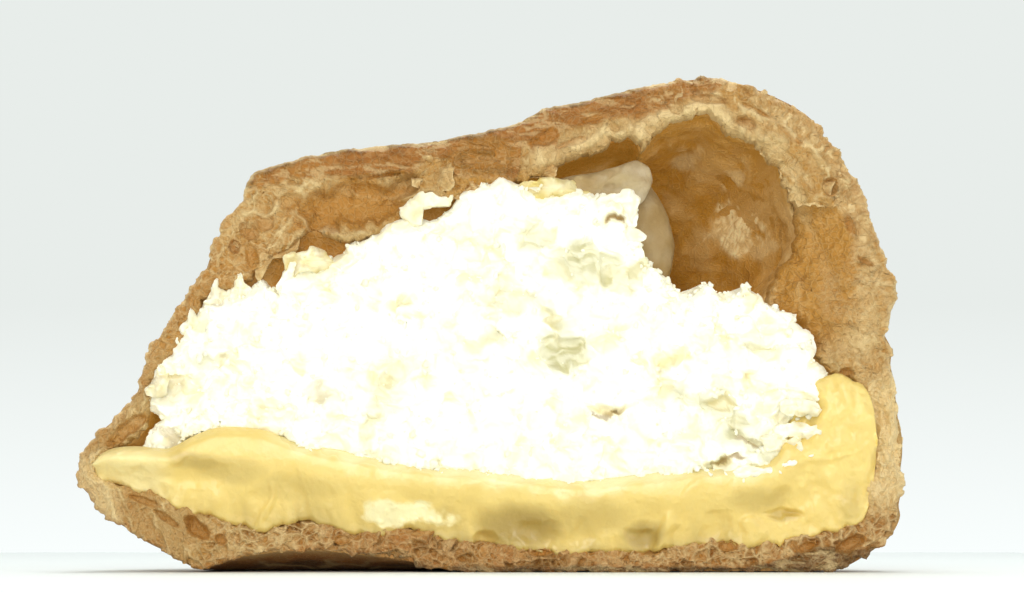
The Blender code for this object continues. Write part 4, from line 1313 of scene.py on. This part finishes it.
# %% Flaps of dough
# Outline, depth, half thickness, lean in z, crinkle, brown, pale, amber.
FLAPS = [
    ([(-20.6, 36.2), (-22.4, 35.0), (-23.9, 33.2), (-24.6, 31.6), (-24.0, 30.4), (-23.4, 31.9),
      (-22.4, 32.8), (-20.6, 33.1), (-20.0, 34.6)], 1.5, 0.15, 0.3, 0.5, 0.1, 0.25, 0.45),
    ([(-8.4, 41.0), (-7.6, 43.0), (-5.9, 43.2), (-4.2, 43.3), (-3.9, 42.0), (-4.1, 40.2), (-5.4, 39.5),
      (-6.9, 39.3), (-7.9, 39.7)], 1.1, 0.25, 0.12, 1.2, 0.1, 0.35, 0.5),
    ([(-4.4, 41.6), (-3.2, 42.2), (-1.8, 41.6), (-1.4, 40.0), (-2.3, 38.9), (-4.0, 38.7), (-4.9, 40.0)],
     1.2, 0.5, 0.2, 0.7, 0.7, 0.1, 0.2),
    ([(3.0, 43.6), (4.6, 44.2), (6.4, 43.8), (6.8, 42.4), (6.4, 41.0), (5.4, 41.3), (4.4, 40.9),
      (3.4, 41.4), (2.8, 42.2)], 1.6, 0.2, 0.35, 1.0, 0.5, 0.25, 0.6),
    ([(31.4, 45.8), (34.0, 45.0), (35.9, 42.4), (35.6, 39.6), (34.6, 37.8), (33.8, 38.2), (33.2, 37.9),
      (32.6, 38.4), (32.0, 38.1), (31.6, 39.0), (31.0, 39.4), (30.9, 40.3), (30.3, 41.0), (30.3, 41.9),
      (29.8, 43.2), (30.2, 45.0)], 1.6, 0.15, 0.3, 0.6, 0.2, 0.2, 0.35),
    ([(27.4, 45.8), (28.0, 44.2), (28.5, 43.0), (29.4, 42.8), (30.6, 42.8), (31.4, 44.4), (30.8, 46.0),
      (29.0, 46.4)], 1.5, 0.15, 0.35, 0.5, 0.2, 0.15, 0.5),
    ([(-27.2, 36.4), (-26.2, 37.0), (-24.8, 36.4), (-24.4, 34.9), (-25.2, 33.8), (-26.6, 33.6),
      (-27.2, 34.4), (-27.6, 35.4)], 1.5, 0.3, 0.2, 0.9, 0.3, 0.25, 0.3),
]
flap_parts = []
for number, (outline, depth, half, lean, crinkle, brown, pale, amber) in enumerate(FLAPS):
    at, faces, ends, to_rim = pillow(outline, depth, half, crinkle, 150 + 5 * number, (0.0, lean))
    veins = strands(at + 0.5 * rough(at, 1.2, 2, 151)[:, None], 1.1, 3, 152)
    pits, walls = foam(at, 0.95, 154)
    porous = brown > 0.6
    at[:, 1] += porous * pits
    pale = pale + 0.7 * porous * walls
    hangs = soft_step(0.7 - (at[:, 2] - at[:, 2].mean()) / 2)
    edge = pale + 0.45 * hangs * soft_step((to_rim - 0.88) * 9) + 1.2 * np.clip(veins - 0.5, 0, 1)
    speckle = 0.3 * rough(at, 0.7, 2, 153)
    marks = {"brown": np.clip(brown + speckle, 0, 1), "pale": np.clip(edge, 0, 1)}
    # Painted light: a faint glow on every flap.
    marks |= {"amber": np.clip(amber + speckle, 0, 1), "glow": 0.08 + 0 * edge}
    flap_parts.append((at, faces, ends, marks))
choux_flaps = joined("choux_flaps", flap_parts, "choux_shell")

# %% Tongues and lobes of cream
# Outline, depth, half thickness, crinkle, tint at the left and at the right, crevice. On the two big
# lobes the tint is painted shade.
TONGUES = [
    ([(5.4, 40.2), (7.5, 41.3), (10.2, 41.7), (12.4, 42.2), (14.0, 42.8), (15.4, 43.1), (16.5, 42.5),
      (17.0, 41.2), (16.6, 39.8), (15.4, 38.2), (12.6, 37.2), (9.0, 37.4), (6.4, 38.6)],
     2.7, 1.3, 0.6, 1.0, 0.75, 0.3),
    ([(12.6, 41.6), (14.6, 42.3), (16.5, 41.2), (17.6, 39.8), (18.5, 38.0), (19.2, 35.9), (19.4, 34.0),
      (19.0, 31.6), (17.6, 29.6), (14.6, 28.6), (11.6, 31.0), (10.8, 36.0)],
     6.0, 3.0, 0.3, 0.9, 1.0, 0.3),
    ([(2.2, 39.4), (3.4, 40.6), (5.6, 41.0), (8.2, 40.8), (10.2, 40.2), (11.4, 39.2), (9.0, 38.4),
      (5.0, 38.2)], 1.3, 0.7, 0.9, 0.1, 0.04, 0.8),
    ([(-9.6, 37.6), (-8.6, 38.5), (-7.6, 39.3), (-6.4, 39.6), (-5.2, 39.2), (-4.2, 39.3), (-4.3, 38.3),
      (-5.2, 38.4), (-5.9, 38.0), (-6.8, 37.9), (-7.3, 37.0), (-7.2, 36.0), (-8.6, 35.8)],
     0.5, 0.5, 0.5, 0.0, 0.0, 0.35),
    ([(-21.8, 32.2), (-21.2, 33.2), (-19.8, 33.3), (-18.6, 33.8), (-17.4, 33.4), (-16.6, 32.2),
      (-18.0, 31.2), (-19.2, 31.2), (-20.4, 30.4), (-21.3, 31.0)], 0.6, 0.9, 1.3, 0.12, 0.0, 0.6),
    ([(-29.9, 27.0), (-29.2, 29.2), (-28.6, 30.3), (-28.0, 29.2), (-26.8, 28.4), (-27.8, 27.0)],
     0.4, 0.6, 1.0, 0.1, 0.1, 0.2),
    ([(-27.4, 28.0), (-26.8, 30.2), (-26.2, 31.3), (-25.6, 30.2), (-24.6, 29.0), (-25.8, 28.0)],
     0.5, 0.5, 1.0, 0.2, 0.1, 0.2),
    ([(-32.6, 23.6), (-32.0, 25.8), (-31.2, 27.2), (-30.4, 26.6), (-30.2, 24.8), (-31.4, 23.2)],
     0.4, 0.6, 1.0, 0.0, 0.1, 0.2),
    ([(-35.6, 18.4), (-35.2, 20.6), (-34.4, 21.8), (-33.4, 21.0), (-33.6, 19.0), (-34.6, 17.6)],
     0.5, 0.6, 1.2, 0.2, 0.0, 0.4),
    ([(11.4, 39.0), (13.0, 39.5), (14.8, 39.3), (15.7, 38.5), (15.2, 37.6), (14.9, 36.4), (14.4, 36.2),
      (14.1, 37.4), (12.4, 37.4), (11.0, 38.0)], -0.2, 0.6, 0.5, 0.0, 0.0, 0.15),
    ([(12.8, 35.4), (14.4, 35.6), (15.9, 35.2), (16.0, 34.5), (14.8, 34.0), (13.0, 34.2)],
     -0.1, 0.5, 0.4, 0.0, 0.0, 0.15),
    ([(24.6, 10.0), (26.0, 10.7), (28.2, 10.6), (30.0, 11.5), (32.2, 11.7), (31.2, 10.7), (29.6, 10.4),
      (28.2, 9.3), (26.6, 9.7)], -0.9, 0.4, 0.6, 0.0, 0.0, 0.1),
    ([(29.4, 15.2), (31.2, 15.6), (32.8, 15.2), (34.3, 14.8), (34.5, 14.2), (33.2, 13.7), (31.0, 13.7),
      (29.6, 14.0)], -0.7, 0.6, 1.0, 0.0, 0.1, 0.2),
    ([(29.8, 17.6), (31.6, 17.8), (33.6, 17.4), (34.3, 16.6), (33.4, 15.9), (31.6, 16.2), (30.0, 16.4)],
     -0.5, 0.6, 1.0, 0.0, 0.1, 0.2),
    ([(27.8, 13.9), (29.6, 14.2), (31.6, 13.6), (32.9, 13.2), (32.4, 12.5), (30.4, 12.4), (28.4, 12.8)],
     -0.7, 0.6, 1.0, 0.1, 0.1, 0.2),
]
tongue_parts = []
for number, (outline, depth, half, crinkle, tint_left, tint_right, crevice) in enumerate(TONGUES):
    ragged = 0.3 if half < 1.2 else 0.08
    at, faces, ends, _ = pillow(outline, depth, half, crinkle, 170 + 5 * number, ragged=ragged)
    across = (at[:, 0] - at[:, 0].min()) / np.ptp(at[:, 0])
    # Painted shade: the tint darkens the two big lobes that lie deep in the hollow.
    tint = tint_left + (tint_right - tint_left) * across + 0.1 * rough(at, 1.5, 2, 171)
    crevices = np.clip(crevice + 0.3 * rough(at, 1.0, 2, 172), 0, 1)
    tongue_parts.append((at, faces, ends, {"crevice": crevices, "tint": np.clip(tint, 0, 1)}))
cream_tongues = joined("cream_tongues", tongue_parts, "whipped_cream")


# %% The heap behind
HEAP_MIDDLE, HEAP_REACH = np.array([1.0, 16.5, 18.5]), np.array([27.0, 12.5, 11.5])
HEAP_GRID = (128, 63)
HEAP_TILT = math.radians(-3)


def heap():
    """A squared ball turned about Y, its reach given on each axis, that soft swells push out or in."""
    ball = ball_grid(*HEAP_GRID)
    at = np.sign(ball) * np.abs(ball) ** 0.8 * HEAP_REACH
    at = at * (1 + 1.5 * rough(at + 40, 4.0, 3, 123)[:, None] / HEAP_REACH.max())
    x = at[:, 0] * math.cos(HEAP_TILT) - at[:, 2] * math.sin(HEAP_TILT)
    z = at[:, 0] * math.sin(HEAP_TILT) + at[:, 2] * math.cos(HEAP_TILT)
    points = np.stack([x, at[:, 1], z], axis=-1) + HEAP_MIDDLE + [0, CUT, 0]
    # Painted shade: warm and buttery all over, as the heap lies in the hollow's shade.
    marks = {"crevice": np.full(len(points), 0.3), "tint": np.full(len(points), 0.3)}
    faces, ends = ball_faces(*HEAP_GRID)
    return make_piece("cream_heap", points, faces, "whipped_cream", marks, ends.tolist())


cream_heap = heap()

# %% [markdown]
# ## Finishes
#
# Choux is matt. Its colour comes from how baked each place is: pale straw in the walls between
# bubbles, gold in the crumb, brown at the crust and in the pits; in the pits and the gaps between
# strands that brown is partly painted shade. A faint glow of painted light stands for daylight that
# comes through the thin shell. It lifts the hollow, the pockets, the lips and the cut rim, and the
# amber colour partly paints that light too.
# Custard is a wet, smooth gel: light goes in, and a clear film on top glints. Whipped cream is almost
# white and scatters light strongly, with a warm tint in its crevices. That tint, the grey-olive of its
# greyer places and the buttery colour of its lobes are partly painted shade. Fine grain that a mesh
# can't hold is bump: pores for choux, and small crumbs for cream.


# %% Node helpers
def tree_of(name):
    """A material, and its node tree, emptied."""
    made = bpy.data.materials.new(name)
    made.use_nodes = True
    made.node_tree.nodes.clear()
    return made, made.node_tree


def add(tree, kind, label="", **settings):
    """A node with its settings. A setting named as an input is that input's value or its link."""
    node = tree.nodes.new(kind)
    node.label = label
    for key, value in settings.items():
        name = key.replace("_", " ")
        if key in node.bl_rna.properties:
            setattr(node, key, value)
        elif isinstance(value, bpy.types.NodeSocket):
            tree.links.new(value, socket(node, name))
        else:
            socket(node, name).default_value = value
    return node


def socket(node, name):
    """The input with that name, whatever its capitals, or with that number."""
    for one in node.inputs:
        if one.name.lower() == name.lower() and one.enabled:
            return one
    return node.inputs[int(name)]


def linear(red, green, blue):
    """A display colour from 0 to 255 as the linear colour that shaders use."""
    parts = [c / 255 for c in (red, green, blue)]
    return tuple(c / 12.92 if c <= 0.04045 else ((c + 0.055) / 1.055) ** 2.4 for c in parts) + (1.0,)


def blended(tree, part, low, high, label):
    """A colour between two: low where part is 0, high where it is 1."""
    node = tree.nodes.new("ShaderNodeMix")
    node.data_type = "RGBA"
    node.label = label
    for place, value in ((0, part), (6, low), (7, high)):
        if isinstance(value, bpy.types.NodeSocket):
            tree.links.new(value, node.inputs[place])
        else:
            node.inputs[place].default_value = value
    return node.outputs[2]


def sum_of(tree, operation, *values, label="", clamp=False):
    """One number from two or three, by a math node."""
    node = tree.nodes.new("ShaderNodeMath")
    node.operation, node.label, node.use_clamp = operation, label, clamp
    for place, value in enumerate(values):
        if isinstance(value, bpy.types.NodeSocket):
            tree.links.new(value, node.inputs[place])
        else:
            node.inputs[place].default_value = value
    return node.outputs[0]


def numbered(tree, name):
    """A number kept on the mesh's points."""
    return add(tree, "ShaderNodeAttribute", name, attribute_name=name).outputs["Fac"]


def to_surface(tree, shader):
    """The shader joined to a new material output."""
    output = tree.nodes.new("ShaderNodeOutputMaterial")
    tree.links.new(shader.outputs[0], output.inputs["Surface"])


def finished(tree, colour, height, distance, strength, **values):
    """A Principled shader with the colour and a bump, joined to the output."""
    bump = add(tree, "ShaderNodeBump", "fine grain", Height=height, Distance=distance, Strength=strength)
    shader = add(tree, "ShaderNodeBsdfPrincipled", subsurface_method="BURLEY", Normal=bump.outputs[0],
                 Base_Color=colour, **values)
    to_surface(tree, shader)


# %% Groups: fine grain with soft mottling, and the walls of a fine foam
def new_group(name, inputs, outputs):
    """A node group that reads coordinates and the numbers named, with its two end nodes."""
    group = bpy.data.node_groups.new(name, "ShaderNodeTree")
    group.interface.new_socket("Coordinates", in_out="INPUT", socket_type="NodeSocketVector")
    for ends, way in ((inputs, "INPUT"), (outputs, "OUTPUT")):
        for label in ends:
            group.interface.new_socket(label, in_out=way, socket_type="NodeSocketFloat")
    return group, group.nodes.new("NodeGroupInput"), group.nodes.new("NodeGroupOutput")


def grain_group():
    """Outputs a mottle from -1 to 1 and a bump height, from two noises of the sizes given."""
    group, start, end = new_group("soft_grain", ("Mottle Scale", "Grain Scale"), ("Mottle", "Height"))
    at, sizes = start.outputs["Coordinates"], start.outputs
    mottle = add(group, "ShaderNodeTexNoise", "mottle", Vector=at, Scale=sizes["Mottle Scale"], Detail=2.0)
    fine = add(group, "ShaderNodeTexNoise", "grain", Vector=at, Scale=sizes["Grain Scale"], Detail=2.0)
    centred = sum_of(group, "MULTIPLY_ADD", mottle.outputs[0], 2.0, -1.0)
    group.links.new(centred, end.inputs["Mottle"])
    group.links.new(fine.outputs[0], end.inputs["Height"])
    return group


def crumb_group():
    """Outputs the thin walls of a fine foam, and its height, from the distance to cell edges."""
    group, start, end = new_group("fine_crumb", ("Cell Scale", "Warp"), ("Walls", "Height"))
    at = start.outputs["Coordinates"]
    bend = add(group, "ShaderNodeTexNoise", "bend", Vector=at, Scale=900.0, Detail=0.0)
    push = add(group, "ShaderNodeVectorMath", "push", operation="SCALE")
    group.links.new(bend.outputs["Color"], push.inputs[0])
    group.links.new(start.outputs["Warp"], push.inputs["Scale"])
    moved = add(group, "ShaderNodeVectorMath", "bent place", operation="ADD")
    group.links.new(at, moved.inputs[0])
    group.links.new(push.outputs[0], moved.inputs[1])
    edges = add(group, "ShaderNodeTexVoronoi", "cells", feature="DISTANCE_TO_EDGE", Vector=moved.outputs[0],
                Scale=start.outputs["Cell Scale"])
    walls = add(group, "ShaderNodeMapRange", "thin walls", Value=edges.outputs["Distance"], From_Min=0.0,
                From_Max=0.16, To_Min=1.0, To_Max=0.0, interpolation_type="SMOOTHSTEP")
    group.links.new(walls.outputs[0], end.inputs["Walls"])
    group.links.new(walls.outputs[0], end.inputs["Height"])
    return group


def placed(tree, group, **values):
    """The group in a material, reading object coordinates, with its own values. Gives its outputs."""
    node = tree.nodes.new("ShaderNodeGroup")
    node.node_tree = group
    place = tree.nodes.new("ShaderNodeTexCoord")
    tree.links.new(place.outputs["Object"], node.inputs["Coordinates"])
    for name, value in values.items():
        node.inputs[name.replace("_", " ")].default_value = value
    return node.outputs


soft_grain, fine_crumb = grain_group(), crumb_group()
NO_LIGHT = (0.0, 0.0, 0.0, 1.0)


# %% Choux
CRUMB_GOLD, CRUST_BROWN, BURNT = linear(181, 145, 90), linear(158, 101, 42), linear(96, 60, 28)
AMBER, STRAW = linear(180, 128, 54), linear(233, 207, 152)
# Painted light: glow colours for daylight that comes through the thin shell.
PAINTED_GLOW, PAINTED_GLOW_WHERE_THIN = (0.13, 0.062, 0.006, 1.0), (0.3, 0.25, 0.13, 1.0)


def choux_finish():
    """Gold crumb, brown where baked, straw on the thin walls, amber where light comes through.

    The amber partly paints that light, and a glow of painted light lifts the hollow and thin places.
    """
    made, tree = tree_of("choux")
    mottle, height = placed(tree, soft_grain, Mottle_Scale=420.0, Grain_Scale=3600.0)
    walls, foam_height = placed(tree, fine_crumb, Cell_Scale=1500.0, Warp=0.0007)
    brown, pale, amber, glow = (numbered(tree, name) for name in ("brown", "pale", "amber", "glow"))
    toasted = sum_of(tree, "MULTIPLY_ADD", mottle, 0.35, brown)
    baked = sum_of(tree, "MULTIPLY", toasted, 1.0, label="toasted", clamp=True)
    crumb = blended(tree, baked, CRUMB_GOLD, CRUST_BROWN, "crumb to crust")
    burnt = sum_of(tree, "MULTIPLY_ADD", toasted, 2.0, -2.1, label="burnt", clamp=True)
    crumb = blended(tree, burnt, crumb, BURNT, "burnt")
    golden = sum_of(tree, "MULTIPLY", amber, 0.9, label="amber", clamp=True)
    crumb = blended(tree, golden, crumb, AMBER, "amber")
    fine = sum_of(tree, "MULTIPLY", walls, 0.12, label="fine walls")
    lighter = sum_of(tree, "MULTIPLY_ADD", pale, 0.85, fine, label="pale walls", clamp=True)
    crumb = blended(tree, lighter, crumb, STRAW, "walls")
    relief = sum_of(tree, "MULTIPLY_ADD", foam_height, 0.6, height, label="relief")
    # Painted light: the glow, paler where the dough is pale, wherever the glow number is high.
    shine = blended(tree, pale, PAINTED_GLOW, PAINTED_GLOW_WHERE_THIN, "thinner where pale")
    lit = blended(tree, glow, NO_LIGHT, shine, "light through the crust")
    finished(tree, crumb, relief, 0.00022, 0.6, Roughness=0.45, Specular_IOR_Level=0.14,
             Emission_Color=lit, Emission_Strength=1.0)
    return made


# %% Custard
GEL_DULL, GEL_BRIGHT = linear(231, 201, 112), linear(239, 212, 126)
GEL_PAINTED_SHADE, GEL_FILM_AND_SHEEN = linear(150, 122, 54), linear(248, 237, 182)


def custard_finish():
    """Yellow gel under a wet film, smoother where it is wet.

    Its deep places get painted shade. The film's paler colour is partly its own, partly a painted sheen.
    """
    made, tree = tree_of("custard")
    mottle, height = placed(tree, soft_grain, Mottle_Scale=220.0, Grain_Scale=1500.0)
    wet = numbered(tree, "wet")
    part = sum_of(tree, "MULTIPLY_ADD", mottle, 0.5, 0.5, label="mottled", clamp=True)
    colour = blended(tree, part, GEL_DULL, GEL_BRIGHT, "custard")
    # Painted shade in the deep places.
    colour = blended(tree, numbered(tree, "deep"), colour, GEL_PAINTED_SHADE, "deep places")
    # The wet film is paler: partly its own colour, partly a painted sheen.
    colour = blended(tree, wet, colour, GEL_FILM_AND_SHEEN, "wet film")
    dull = sum_of(tree, "MULTIPLY_ADD", wet, -0.2, 0.36, label="wet")
    finished(tree, colour, height, 0.0004, 0.35, Roughness=dull, Coat_Weight=0.35, Coat_Roughness=0.12,
             Subsurface_Weight=0.35, Subsurface_Scale=0.002, Subsurface_Radius=(1.0, 0.7, 0.3))
    return made


# %% Cream
CREAM_WHITE, CREAM_WARM_AND_SHADE = linear(252, 250, 232), linear(220, 200, 122)
CREAM_PAINTED_SHADE, CREAM_BUTTER_AND_SHADE = linear(180, 174, 124), linear(158, 130, 82)
FILL_LIGHT, FILL_IN_CREVICES = (0.07, 0.07, 0.05, 1.0), (0.03, 0.025, 0.01, 1.0)


def cream_finish(name, soaked):
    """Nearly white, warm in the crevices, with small crumbs as bump, and light soaking in by that much.

    The warm crevices, the grey-olive shade and the buttery lobes are partly painted shade. Light that
    scatters many times inside foam fills its shadows, which a little emission stands for.
    """
    made, tree = tree_of(name)
    mottle, height = placed(tree, soft_grain, Mottle_Scale=200.0, Grain_Scale=1800.0)
    crevice, tint, shade = (numbered(tree, mark) for mark in ("crevice", "tint", "shade"))
    # Warm in the crevices: painted shade in the dents, and a warm tone in blotches.
    deep = sum_of(tree, "MULTIPLY_ADD", mottle, 0.15, crevice, label="crevices", clamp=True)
    colour = blended(tree, deep, CREAM_WHITE, CREAM_WARM_AND_SHADE, "cream")
    # Painted shade: grey-olive in the greyer places.
    colour = blended(tree, shade, colour, CREAM_PAINTED_SHADE, "grey-olive shade")
    # Buttery: crumb or custard showing through, and painted shade on the lobes and the heap.
    colour = blended(tree, tint, colour, CREAM_BUTTER_AND_SHADE, "buttery shade")
    fill = blended(tree, deep, FILL_LIGHT, FILL_IN_CREVICES, "fill")
    fill = blended(tree, tint, fill, NO_LIGHT, "none in the lobes")
    finished(tree, colour, height, 0.0003, 0.5, Roughness=0.6, Specular_IOR_Level=0.3,
             Subsurface_Weight=soaked, Subsurface_Scale=0.0012, Subsurface_Radius=(1.0, 0.85, 0.6),
             Emission_Color=fill, Emission_Strength=1.0)
    return made


# %% Finishes on the pieces
choux, custard_gel = choux_finish(), custard_finish()
cream, cream_loose = cream_finish("cream", 0.3), cream_finish("cream_crumbs", 0.0)
for piece in (choux_base, choux_left, choux_right, choux_crust, choux_lining, choux_flaps):
    piece.data.materials.append(choux)
custard_layer.data.materials.append(custard_gel)
cream_crumb_piece.data.materials.append(cream_loose)
for piece in (cream_torn_face, cream_tongues, cream_heap):
    piece.data.materials.append(cream)

# %% [markdown]
# ## Where it stands, light and camera
#
# The puff stands on a pale surface before a pale wall. A large soft light from the front and above
# makes short, faint shadows, one fills the right side, one shines down from above and behind, and
# the wall glows, brighter at its foot. Seen from behind the wall is clear, so that it hides nothing.


# %% Floor and wall
def flat_sheet(name, corners):
    """A stage piece of one face."""
    mesh = bpy.data.meshes.new(name)
    mesh.from_pydata([[c * MM for c in corner] for corner in corners], [], [(0, 1, 2, 3)])
    made = bpy.data.objects.new(name, mesh)
    bpy.context.scene.collection.objects.link(made)
    return made


SIDE, FRONT, BACK = 900, -700, 230  # how far the floor reaches
WALL_FOOT, WALL_TOP = -60, 600
floor = flat_sheet("floor", [(-SIDE, FRONT, 0), (SIDE, FRONT, 0), (SIDE, BACK, 0), (-SIDE, BACK, 0)])
wall = flat_sheet("wall", [(x, BACK, z) for x, z in
                           ((-SIDE, WALL_FOOT), (SIDE, WALL_FOOT), (SIDE, WALL_TOP), (-SIDE, WALL_TOP))])

made, tree = tree_of("floor_white")
to_surface(tree, add(tree, "ShaderNodeBsdfPrincipled", Roughness=0.6, Base_Color=(0.86, 0.9, 0.88, 1)))
floor.data.materials.append(made)

made, tree = tree_of("wall_glow")
place = add(tree, "ShaderNodeTexCoord").outputs["Object"]
height = add(tree, "ShaderNodeSeparateXYZ", Vector=place).outputs["Z"]
up = add(tree, "ShaderNodeMapRange", "height up the wall", Value=height, From_Min=0.0, From_Max=0.047)
shade = blended(tree, up.outputs[0], linear(250, 255, 254), linear(232, 237, 234), "glow")
sides = tree.nodes.new("ShaderNodeMixShader")  # clear from behind
tree.links.new(add(tree, "ShaderNodeNewGeometry").outputs["Backfacing"], sides.inputs[0])
tree.links.new(add(tree, "ShaderNodeEmission", Color=shade, Strength=1.0).outputs[0], sides.inputs[1])
tree.links.new(add(tree, "ShaderNodeBsdfTransparent").outputs[0], sides.inputs[2])
to_surface(tree, sides)
wall.data.materials.append(made)


# %% Lights
def soft_light(name, place, aim, size, power, colour=(1, 1, 1)):
    """A square lamp of that side in millimetres, aimed at a point."""
    lamp = bpy.data.lights.new(name, "AREA")
    lamp.shape, lamp.size, lamp.energy, lamp.color = "SQUARE", size * MM, power, colour
    made = bpy.data.objects.new(name, lamp)
    bpy.context.scene.collection.objects.link(made)
    made.location = Vector(place) * MM
    made.rotation_euler = (Vector(aim) * MM - made.location).to_track_quat("-Z", "Y").to_euler()
    return made


FACE_MIDDLE = (0, CUT, 22)
soft_light("key", (-40, -400, 150), FACE_MIDDLE, 300, 0.95, (1.0, 0.99, 0.96))
soft_light("fill", (300, -260, 120), FACE_MIDDLE, 260, 0.24, (0.96, 0.98, 1.0))
soft_light("top", (20, 60, 320), (0, 0, 30), 200, 0.5)

# %% World and camera
world = bpy.data.worlds.new("studio")
world.use_nodes = True
sky = world.node_tree.nodes["Background"].inputs
sky["Color"].default_value, sky["Strength"].default_value = (0.95, 0.98, 1.0, 1), 0.5
bpy.context.scene.world = world
bpy.context.scene.view_settings.view_transform = "Standard"

lens = bpy.data.cameras.new("camera")
lens.lens, lens.sensor_width = 102.0, 36.0
lens.clip_start, lens.clip_end = 0.01, 5.0
camera = bpy.data.objects.new("camera", lens)
bpy.context.scene.collection.objects.link(camera)
CAMERA_SIDE, CAMERA_AWAY = 2.2, 300
camera.location = Vector((CAMERA_SIDE, CUT - CAMERA_AWAY, 4.5)) * MM
aim = Vector((CAMERA_SIDE, CUT, 28.5)) * MM
camera.rotation_euler = (aim - camera.location).to_track_quat("-Z", "Y").to_euler()
bpy.context.scene.camera = camera
